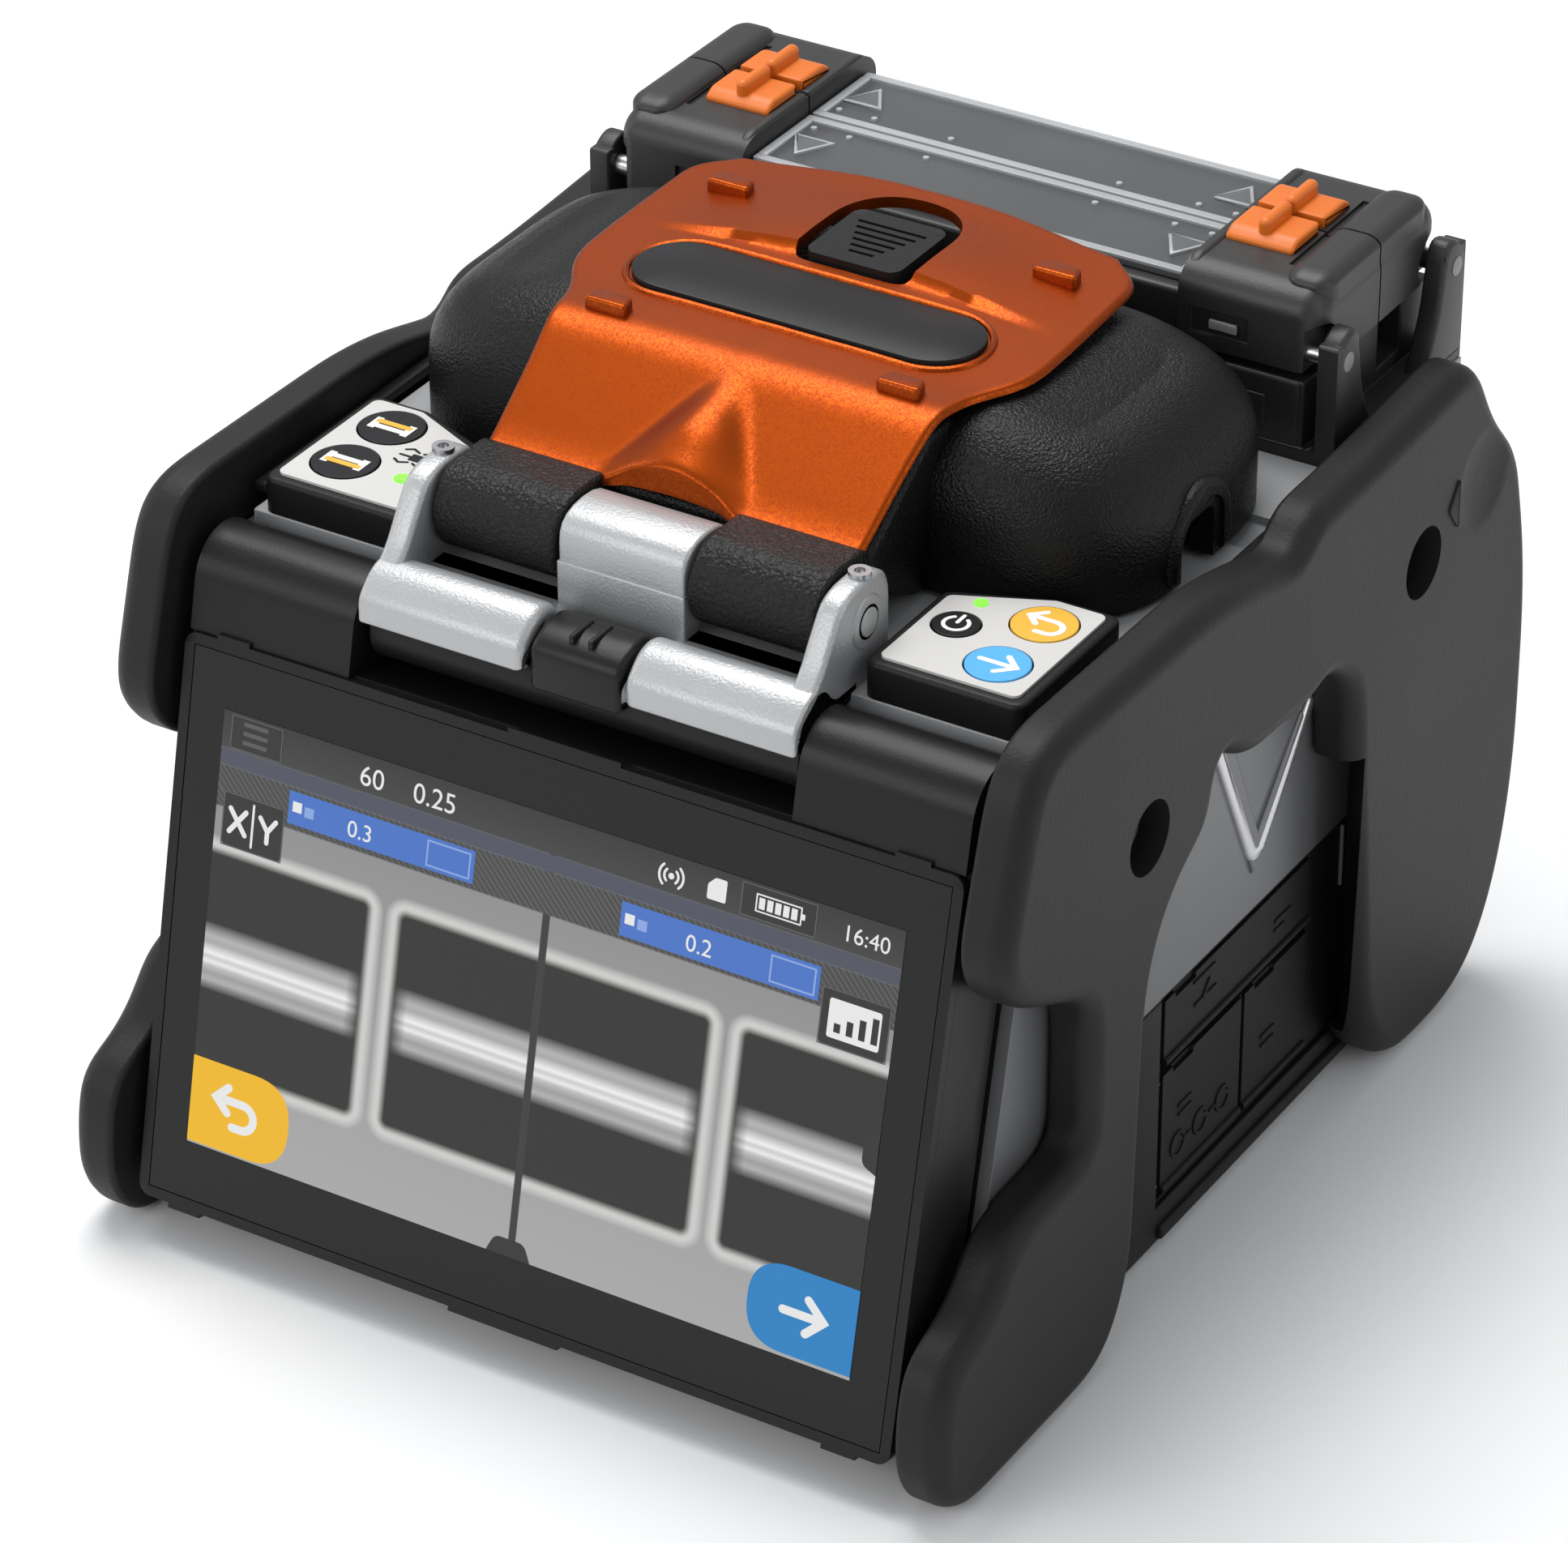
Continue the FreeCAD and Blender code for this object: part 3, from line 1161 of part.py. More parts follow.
def make_heater_frame(end, mirrored):
    body = new_body(f"heater_frame_{end}")
    low, high = seam_mirror((z.lid_pin_y - 2.4, z.lid_seam - 0.2), mirrored)
    half = z.heater_half
    slab(body, "frame_sheet_" + end, (-half, low, z.lid_foot), (half, high, z.window_low - 0.05))
    front, back = seam_mirror((z.lid_pin_y + 3.6, z.lid_seam - 2.4), mirrored)
    slot(body, "frame_window_" + end, (-z.block_inner + 0.4, front, z.lid_foot - 1),
         (z.block_inner - 0.4, back, z.window_low + 1))
    for side, near, far in both_sides(z.block_inner, half):
        slab(body, f"frame_clamp_{end}_{side}", (near, low, z.window_low - 1), (far, high, z.clamp_top))
    axis_y = z.rear_pin_y if mirrored else z.lid_pin_y
    outer_edge = number(low if not mirrored else high)
    soften(body, "frame_nose_" + end, 2.2,
           lambda middle, way: along(way, "x") and abs(middle.y - outer_edge) < 0.01
           and (middle.z < number(z.lid_foot) + 0.01 or middle.z > number(z.clamp_top) - 0.01))
    soften(body, "frame_ends_" + end, 1.6,
           lambda middle, way: along(way, "y") and abs(middle.z - number(z.clamp_top)) < 0.01)
    for side, near, far in both_sides(half - 5.2, half):
        bore(body, f"frame_bore_{end}_{side}", "x", near, far - near, (axis_y, z.lid_pin_z),
             z.lid_pin_radius + z.running_gap)
    return body


def make_heater_window(end, mirrored):
    body = new_body(f"heater_window_{end}")
    low, high = seam_mirror((z.lid_pin_y + 0.4, z.lid_seam - 0.2), mirrored)
    slab(body, "window_sheet_" + end, (-z.block_inner + 0.1, low, z.window_low),
         (z.block_inner - 0.1, high, z.lid_top))
    edge = number(low if not mirrored else high)
    soften(body, "window_bevel_" + end, 0.6,
           lambda middle, way: along(way, "x") and abs(middle.y - edge) < 0.01
           and middle.z > number(z.lid_top) - 0.01, "PartDesign::Chamfer")
    return body


def make_heater_levers(end, mirrored):
    members = []
    low, high = seam_mirror((49.6, z.lid_seam - 0.8), mirrored)
    rib_low, rib_high = seam_mirror((50.6, z.lid_seam - 0.8), mirrored)
    for side, near, far in both_sides(37.6, 48.6):
        body = piece(f"lever_{end}_{side}")
        slab(body, body.Label + "_pad", (near, low, z.clamp_top), (far, high, z.clamp_top + 1.3))
        middle = (near + far) / 2
        slab(body, body.Label + "_rib", (middle - 0.9, rib_low, z.clamp_top + 1),
             (middle + 0.9, rib_high, z.clamp_top + 3.2))
        members.append(body)
    return group(f"heater_levers_{end}", members)


for end, mirrored in (("front", False), ("rear", True)):
    nodes.append(make_heater_frame(end, mirrored))
    nodes.append(make_heater_window(end, mirrored))
    nodes.append(make_heater_levers(end, mirrored))


# ---------------------------------------------------------------- connectors and board

FLAPS = [("port_flap_data", -11.0, z.flap_rear, 31.6, 41.8),
         ("port_flap_output", -11.0, 12.4, 9.8, 29.2),
         ("port_flap_input", 13.4, z.flap_rear, 9.8, 29.2)]
SOCKETS = [("data", 3.0, 35.2, 17.0, 5.4), ("output", 1.0, 20.0, 8.0, 8.0),
           ("input", 23.0, 20.0, 9.0, 9.0)]
FLAP_SWING = 1.9


def make_port_panel():
    body = new_body("port_panel")
    slab(body, "port_sheet", (z.inside_half - 1.5, z.port_front, z.port_low),
         (z.port_face, z.port_rear, z.port_high))
    for name, front, rear, low, high in FLAPS:
        slot(body, name + "_seat", (z.flap_face - z.flap_thick - 0.1, front - 0.25, low - FLAP_SWING),
             (z.port_face + 1, rear + 0.25, high + 0.3))
    for name, y, middle, wide, high in SOCKETS:
        slot(body, name + "_mouth", (z.inside_half - 3, y - wide / 2, middle - high / 2),
             (z.port_face + 1, y + wide / 2, middle + high / 2))
    return body


nodes.append(make_port_panel())


def make_flap(name, front, rear, low, high):
    body = new_body(name)
    slab(body, name + "_sheet", (z.flap_face - z.flap_thick, front, low), (z.flap_face, rear, high))
    rod(body, name + "_roll", "y", -as_size(rear), as_size(rear) - front, (z.flap_face, low), z.flap_roll)
    slot(body, name + "_nail", (z.flap_face - 0.6, front + 3, high - 0.9),
         (z.flap_face + 1, front + 9, high + 1))
    return body


for flap in FLAPS:
    nodes.append(make_flap(*flap))


def make_side_sockets():
    members = []
    back = z.inside_half - 12
    for name, y, middle, wide, high in SOCKETS:
        body = piece(f"{name}_socket")
        slab(body, name + "_socket_block", (back, y - wide / 2 - 1.2, middle - high / 2 - 1.2),
             (z.inside_half - 1.6, y + wide / 2 + 1.2, middle + high / 2 + 1.2))
        if name == "data":
            slot(body, name + "_socket_mouth", (back + 2, y - wide / 2, middle - high / 2),
                 (z.inside_half, y + wide / 2, middle + high / 2))
        else:
            bore(body, name + "_socket_mouth", "x", back + 2, 10, (y, middle), z.jack_radius)
        members.append(body)
    return group("side_sockets", members)


nodes.append(make_side_sockets())


def make_main_board():
    body = new_body("main_board")
    slab(body, "board_sheet", (-52, -42, z.board_z), (52, 18, z.board_z + 1.6))
    for index, (x, y, wide, deep, high) in enumerate(
            ((0, -20, 22, 22, 2.4), (28, -24, 12, 9, 1.8), (-30, -14, 14, 14, 2.0),
             (34, 6, 16, 7, 5.5), (-36, 8, 10, 6, 5.5), (10, 6, 8, 8, 3.2))):
        slab(body, f"board_part_{index}", (x - wide / 2, y - deep / 2, z.board_z + 1.4),
             (x + wide / 2, y + deep / 2, z.board_z + 1.6 + high))
    return body


nodes.append(make_main_board())


# ---------------------------------------------------------------- check and export

doc.recompute()
for item in doc.Objects:
    if "Invalid" in item.State or "Error" in item.State:
        raise RuntimeError(f"{item.Label} failed: {item.State}")
for node in nodes:
    shape = node.Shape
    if shape.isNull() or not shape.isValid():
        raise RuntimeError(f"{node.Label} has no valid shape")
for node in nodes:
    node.Shape.exportStep(f"parts/{node.Label}.step")
whole = Part.makeCompound([node.Shape for node in nodes]).BoundBox
print(f"{len(nodes)} nodes, {whole.XLength:.1f} x {whole.YLength:.1f} x {whole.ZLength:.1f} mm")
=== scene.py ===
# %% [markdown]
# A fusion splicer joins two optical fibres with a small arc.  The engineering model already
# fixes every size and every joint, so this lesson only dresses it: it loads that model as
# a frame that never moves, lays finishes on the pieces whose shape is right, and builds better
# meshes for the ones that are soft or sculpted.  We start by loading the frame.

# %% Load the frame
import bmesh
import bpy
import json
import math
from mathutils import Matrix, Vector


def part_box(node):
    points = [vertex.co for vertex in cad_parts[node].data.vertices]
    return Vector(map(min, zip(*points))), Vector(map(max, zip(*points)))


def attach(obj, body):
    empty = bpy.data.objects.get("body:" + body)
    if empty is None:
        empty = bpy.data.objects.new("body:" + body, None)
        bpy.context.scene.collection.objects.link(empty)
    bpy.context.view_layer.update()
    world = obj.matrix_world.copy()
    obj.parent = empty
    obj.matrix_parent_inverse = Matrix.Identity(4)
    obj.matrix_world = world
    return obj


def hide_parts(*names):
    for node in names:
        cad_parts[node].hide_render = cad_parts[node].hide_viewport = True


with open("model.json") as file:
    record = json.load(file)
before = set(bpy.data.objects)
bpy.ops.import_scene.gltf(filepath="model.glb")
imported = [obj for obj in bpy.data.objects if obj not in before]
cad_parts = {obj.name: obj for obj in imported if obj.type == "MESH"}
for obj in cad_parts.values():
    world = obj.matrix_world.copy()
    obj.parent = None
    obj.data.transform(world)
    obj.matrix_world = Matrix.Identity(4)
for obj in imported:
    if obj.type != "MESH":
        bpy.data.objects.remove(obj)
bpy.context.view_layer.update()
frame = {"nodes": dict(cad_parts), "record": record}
MM = 0.001
joints = {joint["name"]: joint for joint in frame["record"]["behaviour"]["joints"]}


def box_mm(node):
    """A node's lowest and highest corners, in millimetres."""
    low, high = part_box(node)
    return Vector(low) / MM, Vector(high) / MM


def axis_mm(joint):
    return Vector(joints[joint]["pos_m"]) / MM


# %% [markdown]
# Most pieces of a moulded instrument are prisms or boxes with soft edges.  Three small makers
# cover them: one turns a list of millimetre points into an object, one grows a closed outline
# into a prism with rolled edges, and one makes a block whose edges and corners are rounded.
# Writing the rounding ourselves gives even rows of faces, so highlights run smoothly along an
# edge, where a bevel on a triangulated export would pinch.

# %% Makers: meshes, prisms and rounded blocks
def make(name, points, faces, body, material, smooth=True, sharp=40):
    """An object from points in millimetres.  Edges bent more than sharp degrees stay crisp."""
    mesh = bpy.data.meshes.new(name)
    mesh.from_pydata([Vector(p) * MM for p in points], [], faces)
    mesh.validate()
    bm = bmesh.new()
    bm.from_mesh(mesh)
    bmesh.ops.remove_doubles(bm, verts=bm.verts, dist=1e-7)
    bmesh.ops.recalc_face_normals(bm, faces=bm.faces)
    for face in bm.faces:
        face.smooth = smooth
    for edge in bm.edges:
        if len(edge.link_faces) == 2 and edge.calc_face_angle(0) > math.radians(sharp):
            edge.smooth = False
    bm.to_mesh(mesh)
    bm.free()
    piece = bpy.data.objects.new(name, mesh)
    bpy.context.collection.objects.link(piece)
    piece.data.materials.append(material)
    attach(piece, body)
    return piece


def rounded_outline(corners, radius, steps=5):
    """A closed outline whose corners are rolled; a corner may give its own radius third."""
    outline = []
    count = len(corners)
    for index, corner in enumerate(corners):
        here = Vector(corner[:2])
        before = Vector(corners[index - 1][:2])
        after = Vector(corners[(index + 1) % count][:2])
        reach = corner[2] if len(corner) > 2 else radius
        back, ahead = before - here, after - here
        into = min(reach, back.length * 0.48)
        out = min(reach, ahead.length * 0.48)
        start, end = here + back.normalized() * into, here + ahead.normalized() * out
        for step in range(steps + 1):
            t = step / steps
            outline.append(start * (1 - t) ** 2 + here * 2 * t * (1 - t) + end * t ** 2)
    return outline


def outline_turn(outline):
    """1 for an outline drawn anticlockwise, -1 for a clockwise one."""
    area = sum(a.x * b.y - b.x * a.y for a, b in zip(outline, outline[1:] + outline[:1]))
    return 1 if area > 0 else -1


def inset(outline, amount):
    """The outline moved inwards along its own normals."""
    turn = outline_turn(outline)
    moved = []
    for index, here in enumerate(outline):
        along = (outline[(index + 1) % len(outline)] - outline[index - 1]).normalized()
        moved.append(here + Vector((-along.y, along.x)) * amount * turn)
    return moved


LAY = {"x": lambda a, b, c: (c, a, b), "y": lambda a, b, c: (a, c, b),
       "z": lambda a, b, c: (a, b, c)}


def prism(outline, axis, start, end, roll_start=0.0, roll_end=0.0, steps=4):
    """Points and faces of a prism along an axis, with its two rims rolled."""
    rings = []
    for side, at, inner, roll in ((0, start, 1, roll_start), (1, end, -1, roll_end)):
        turns = range(steps + 1) if roll > 0 else (0,)
        made = []
        for step in turns:
            angle = math.pi / 2 * step / steps
            depth = roll * (1 - math.sin(angle)) if roll > 0 else 0
            shrink = roll * (1 - math.cos(angle)) if roll > 0 else 0
            made.append((at + inner * depth, shrink))
        rings += [made[::-1], made][side]
    points, faces = [], []
    lay = LAY[axis]
    count = len(outline)
    for at, shrink in rings:
        for p in (inset(outline, shrink) if shrink > 0 else outline):
            points.append(lay(p.x, p.y, at))
    for ring in range(len(rings) - 1):
        for index in range(count):
            a, b = ring * count + index, ring * count + (index + 1) % count
            faces.append((a, b, b + count, a + count))
    faces.append(tuple(range(count))[::-1])
    last = (len(rings) - 1) * count
    faces.append(tuple(range(last, last + count)))
    return points, faces


def block(low, high, radius, steps=4, cells=(1, 1, 1)):
    """Points and faces of a box with rounded edges; radius is one number or one per axis."""
    radii = radius if isinstance(radius, (tuple, list)) else (radius,) * 3
    stops = []
    for axis in range(3):
        r = min(radii[axis], (high[axis] - low[axis]) / 2 - 1e-4)
        curve = [r * math.tan(math.pi / 4 * (1 - i / steps)) for i in range(steps + 1)]
        inner_low, inner_high = low[axis] + r, high[axis] - r
        span = [inner_low + (inner_high - inner_low) * i / cells[axis]
                for i in range(1, cells[axis])]
        stops.append(([inner_low - c for c in curve] + span + [inner_high + c for c in curve[::-1]],
                      inner_low, inner_high, r))
    index_of, points, faces = {}, [], []

    def vertex(raw):
        inner = [min(max(raw[a], stops[a][1]), stops[a][2]) for a in range(3)]
        way = Vector([(raw[a] - inner[a]) / stops[a][3] for a in range(3)])
        if way.length > 0:
            way.normalize()
        place = tuple(round(inner[a] + way[a] * stops[a][3], 5) for a in range(3))
        if place not in index_of:
            index_of[place] = len(points)
            points.append(place)
        return index_of[place]

    for axis in range(3):
        b, c = [a for a in range(3) if a != axis]
        for end in (0, -1):
            for i in range(len(stops[b][0]) - 1):
                for j in range(len(stops[c][0]) - 1):
                    face = []
                    for di, dj in ((0, 0), (1, 0), (1, 1), (0, 1)):
                        raw = [0, 0, 0]
                        raw[axis] = stops[axis][0][end]
                        raw[b], raw[c] = stops[b][0][i + di], stops[c][0][j + dj]
                        face.append(vertex(raw))
                    if len(set(face)) > 2:
                        faces.append(tuple(dict.fromkeys(face)))
    return points, faces


def joined(*shapes):
    """Several sets of points and faces as one."""
    points, faces = [], []
    for more_points, more_faces in shapes:
        shift = len(points)
        points += list(more_points)
        faces += [tuple(i + shift for i in face) for face in more_faces]
    return points, faces


def mirrored(shape):
    points, faces = shape
    return [(-p[0], p[1], p[2]) for p in points], [face[::-1] for face in faces]


# %% [markdown]
# The finishes share a few effects.  Moulded plastic has a fine spark-eroded grain, handled
# surfaces have faint patches that are a little shinier or duller, and metallic paint has
# flakes that each tip their own way.  Each effect is a node group with named sockets, so a
# material only states how coarse and how deep its own grain is.

# %% Shared effects as node groups
def new_group(name, inputs, outputs):
    group = bpy.data.node_groups.new(name, "ShaderNodeTree")
    for label, kind, value in inputs:
        socket = group.interface.new_socket(label, in_out="INPUT", socket_type=kind)
        if value is not None:
            socket.default_value = value
    for label, kind in outputs:
        group.interface.new_socket(label, in_out="OUTPUT", socket_type=kind)
    start = group.nodes.new("NodeGroupInput")
    end = group.nodes.new("NodeGroupOutput")
    return group, start, end


def node(tree, kind, links=(), **settings):
    """Adds a node, sets its properties, and links or sets its inputs by name or number."""
    made = tree.nodes.new(kind)
    for key, value in settings.items():
        setattr(made, key, value)
    for key, value in dict(links).items():
        if isinstance(value, bpy.types.NodeSocket):
            tree.links.new(value, made.inputs[key])
        else:
            made.inputs[key].default_value = value
    return made


FLOAT, VECTOR, COLOUR = "NodeSocketFloat", "NodeSocketVector", "NodeSocketColor"

grain_group, start, end = new_group(
    "Moulded grain", [("Scale", FLOAT, 2500), ("Depth", FLOAT, 0.1), ("Roughness", FLOAT, 0.5),
                      ("Patch", FLOAT, 0.06)], [("Normal", VECTOR), ("Roughness", FLOAT)])
place = node(grain_group, "ShaderNodeTexCoord").outputs["Object"]
fine = node(grain_group, "ShaderNodeTexNoise",
            {"Vector": place, "Scale": start.outputs["Scale"], "Detail": 3.0})
patch = node(grain_group, "ShaderNodeTexNoise", {"Vector": place, "Scale": 28.0, "Detail": 5.0})
bump = node(grain_group, "ShaderNodeBump",
            {"Height": fine.outputs["Fac"], "Strength": start.outputs["Depth"], "Distance": 0.0003})
centred = node(grain_group, "ShaderNodeMath", {0: patch.outputs["Fac"], 1: 0.5}, operation="SUBTRACT")
spread = node(grain_group, "ShaderNodeMath",
              {0: centred.outputs[0], 1: start.outputs["Patch"], 2: start.outputs["Roughness"]},
              operation="MULTIPLY_ADD")
grain_group.links.new(bump.outputs["Normal"], end.inputs["Normal"])
grain_group.links.new(spread.outputs[0], end.inputs["Roughness"])

leather_group, start, end = new_group(
    "Leather grain", [("Scale", FLOAT, 1100), ("Depth", FLOAT, 0.5)],
    [("Normal", VECTOR), ("Pebble", FLOAT)])
place = node(leather_group, "ShaderNodeTexCoord").outputs["Object"]
warp = node(leather_group, "ShaderNodeTexNoise", {"Vector": place, "Scale": 900.0, "Detail": 2.0})
bent = node(leather_group, "ShaderNodeVectorMath",
            {0: warp.outputs["Color"], 1: (0.0009, 0.0009, 0.0009), 2: place},
            operation="MULTIPLY_ADD")
pebbles = node(leather_group, "ShaderNodeTexVoronoi",
               {"Vector": bent.outputs[0], "Scale": start.outputs["Scale"]}, feature="SMOOTH_F1")
pebbles.inputs["Smoothness"].default_value = 0.6
height = node(leather_group, "ShaderNodeMath", {0: 1.0, 1: pebbles.outputs["Distance"]},
              operation="SUBTRACT")
bump = node(leather_group, "ShaderNodeBump",
            {"Height": height.outputs[0], "Strength": start.outputs["Depth"], "Distance": 0.0006})
leather_group.links.new(bump.outputs["Normal"], end.inputs["Normal"])
leather_group.links.new(height.outputs[0], end.inputs["Pebble"])

flake_group, start, end = new_group(
    "Paint flake", [("Scale", FLOAT, 3500), ("Tip", FLOAT, 0.25)],
    [("Flake", FLOAT), ("Normal", VECTOR)])
place = node(flake_group, "ShaderNodeTexCoord").outputs["Object"]
cells = node(flake_group, "ShaderNodeTexVoronoi", {"Vector": place, "Scale": start.outputs["Scale"]})
parts = node(flake_group, "ShaderNodeSeparateColor", {"Color": cells.outputs["Color"]})
bump = node(flake_group, "ShaderNodeBump", {"Height": parts.outputs["Red"],
            "Strength": start.outputs["Tip"], "Distance": 0.0002})
flake_group.links.new(parts.outputs["Green"], end.inputs["Flake"])
flake_group.links.new(bump.outputs["Normal"], end.inputs["Normal"])

tone_group, start, end = new_group(
    "Tone drift", [("Colour", COLOUR, (0.5, 0.5, 0.5, 1)), ("Amount", FLOAT, 0.1),
                   ("Scale", FLOAT, 40)], [("Colour", COLOUR)])
place = node(tone_group, "ShaderNodeTexCoord").outputs["Object"]
drift = node(tone_group, "ShaderNodeTexNoise",
             {"Vector": place, "Scale": start.outputs["Scale"], "Detail": 6.0})
centred = node(tone_group, "ShaderNodeMath", {0: drift.outputs["Fac"], 1: 0.5}, operation="SUBTRACT")
factor = node(tone_group, "ShaderNodeMath",
              {0: centred.outputs[0], 1: start.outputs["Amount"], 2: 1.0}, operation="MULTIPLY_ADD")
scaled = node(tone_group, "ShaderNodeVectorMath",
              {0: start.outputs["Colour"], "Scale": factor.outputs[0]}, operation="SCALE")
tone_group.links.new(scaled.outputs["Vector"], end.inputs["Colour"])
print("effects:", [group.name for group in bpy.data.node_groups])


# %% [markdown]
# A material keeps its own Principled shader and takes only the changing values from the
# groups.  Plastics differ in colour, base roughness and grain, so one maker serves them all,
# and the special finishes - leather grain, flake paint, lamps and smoked window - each get a
# short maker of their own.

# %% Materials
def new_material(name, metallic=0.0, **plain):
    material = bpy.data.materials.new(name)
    material.use_nodes = True
    shader = material.node_tree.nodes["Principled BSDF"]
    shader.inputs["Metallic"].default_value = metallic
    shader.inputs["Specular IOR Level"].default_value = 0.4
    for key, value in plain.items():
        shader.inputs[key.replace("_", " ")].default_value = value
    return material, material.node_tree, shader


def use_group(tree, group, **values):
    made = tree.nodes.new("ShaderNodeGroup")
    made.node_tree = group
    for key, value in values.items():
        made.inputs[key].default_value = value
    return made


def plastic(name, colour, rough, scale=2500, depth=0.1, drift=0.12, metallic=0.0, **plain):
    """Moulded or painted finish: drifting tone, fine grain, patchy roughness."""
    material, tree, shader = new_material(name, metallic, **plain)
    tone = use_group(tree, tone_group, Colour=(*colour, 1), Amount=drift)
    grain = use_group(tree, grain_group, Scale=scale, Depth=depth, Roughness=rough)
    tree.links.new(tone.outputs["Colour"], shader.inputs["Base Color"])
    tree.links.new(grain.outputs["Roughness"], shader.inputs["Roughness"])
    tree.links.new(grain.outputs["Normal"], shader.inputs["Normal"])
    return material


def leather_plastic(name, colour, rough, scale, depth):
    material, tree, shader = new_material(name, Specular_IOR_Level=0.22)
    tone = use_group(tree, tone_group, Colour=(*colour, 1), Amount=0.2)
    leather = use_group(tree, leather_group, Scale=scale, Depth=depth)
    dull = node(tree, "ShaderNodeMapRange", {"Value": leather.outputs["Pebble"], "From Min": 0.3,
                "From Max": 1.0, "To Min": rough + 0.14, "To Max": rough - 0.05})
    tree.links.new(tone.outputs["Colour"], shader.inputs["Base Color"])
    tree.links.new(dull.outputs["Result"], shader.inputs["Roughness"])
    tree.links.new(leather.outputs["Normal"], shader.inputs["Normal"])
    return material


def flake_paint(name, colour, deep, rough):
    """Metallic paint: each flake has its own tone and tilt under a clear coat."""
    material, tree, shader = new_material(name, 0.88, Coat_Weight=0.05, Coat_Roughness=0.2)
    flake = use_group(tree, flake_group, Scale=4200, Tip=0.05)
    tone = node(tree, "ShaderNodeMix", data_type="RGBA")
    tone.inputs["A"].default_value = (*deep, 1)
    tone.inputs["B"].default_value = (*colour, 1)
    tree.links.new(flake.outputs["Flake"], tone.inputs["Factor"])
    dull = node(tree, "ShaderNodeMapRange", {"Value": flake.outputs["Flake"], "To Min": rough + 0.1,
                "To Max": rough - 0.08})
    tree.links.new(tone.outputs["Result"], shader.inputs["Base Color"])
    tree.links.new(dull.outputs["Result"], shader.inputs["Roughness"])
    tree.links.new(flake.outputs["Normal"], shader.inputs["Normal"])
    return material


MATTE = {"Specular_IOR_Level": 0.22}
bumper_rubber = plastic("bumper rubber", (0.0125, 0.0125, 0.0128), 0.50, 1500, 0.22, **MATTE)
body_black = plastic("body black", (0.0095, 0.0095, 0.0098), 0.44, 2200, 0.14, **MATTE)
heater_black = plastic("heater black", (0.024, 0.024, 0.0245), 0.42, 2200, 0.12)
port_black = plastic("port black", (0.007, 0.007, 0.0072), 0.50, 1300, 0.35, **MATTE)
flap_rubber = plastic("flap rubber", (0.0065, 0.0065, 0.0067), 0.55, 1500, 0.25, **MATTE)
monitor_black = plastic("monitor black", (0.010, 0.010, 0.0103), 0.34, 2600, 0.08, **MATTE)
side_grey = plastic("side grey", (0.17, 0.172, 0.175), 0.40, 3000, 0.05, metallic=0.55)
deck_grey = plastic("deck grey", (0.36, 0.365, 0.37), 0.45, 2600, 0.06)
bracket_silver = plastic("bracket silver", (0.42, 0.425, 0.43), 0.40, 2300, 0.30, 0.04, metallic=0.55)
bright_metal = plastic("bright metal", (0.62, 0.62, 0.63), 0.25, 3000, 0.05, 0.03, metallic=0.9)
screw_steel = plastic("screw steel", (0.5, 0.5, 0.51), 0.3, 3000, 0.05, metallic=1.0)
cover_black = leather_plastic("cover black", (0.0038, 0.0038, 0.0039), 0.32, 2500, 0.30)
arm_black = leather_plastic("arm black", (0.0065, 0.0065, 0.0066), 0.34, 1700, 0.40)
cover_orange = flake_paint("cover orange", (0.37, 0.058, 0.0006), (0.26, 0.034, 0.0003), 0.37)
lever_orange = plastic("lever orange", (0.66, 0.15, 0.012), 0.40, 2500, 0.05)
badge_grey = plastic("badge grey", (0.0105, 0.0105, 0.011), 0.36, 2600, 0.06, **MATTE)
label_white = plastic("label white", (0.58, 0.57, 0.55), 0.42, 2600, 0.04, 0.06)
print_black = plastic("print black", (0.010, 0.010, 0.011), 0.36, 2600, 0.04, **MATTE)
print_yellow = plastic("print yellow", (0.76, 0.43, 0.045), 0.42, 2600, 0.04)
print_blue = plastic("print blue", (0.085, 0.40, 0.76), 0.42, 2600, 0.04)
print_white = plastic("print white", (0.85, 0.85, 0.84), 0.42, 2600, 0.04)
stage_metal = plastic("stage metal", (0.38, 0.385, 0.4), 0.38, 2400, 0.06, metallic=0.9)
ceramic_white = plastic("ceramic white", (0.8, 0.8, 0.76), 0.35, 2600, 0.04)
heater_metal = plastic("heater metal", (0.30, 0.30, 0.31), 0.45, 2600, 0.06, metallic=0.5)
board_green = plastic("board green", (0.012, 0.09, 0.035), 0.4, 1500, 0.1)
port_edge = plastic("port edge", (0.13, 0.13, 0.13), 0.4, 2600, 0.04)
glass_black = plastic("glass black", (0.0075, 0.0075, 0.0072), 0.13, 2600, 0.0, Specular_IOR_Level=0.26)


def lamp(name, colour, strength):
    material, tree, shader = new_material(name, Roughness=0.3, Emission_Strength=strength)
    tone = use_group(tree, tone_group, Colour=(*colour, 1), Amount=0.1)
    tree.links.new(tone.outputs["Colour"], shader.inputs["Base Color"])
    tree.links.new(tone.outputs["Colour"], shader.inputs["Emission Color"])
    return material


lamp_green = lamp("lamp green", (0.18, 0.75, 0.05), 0.8)


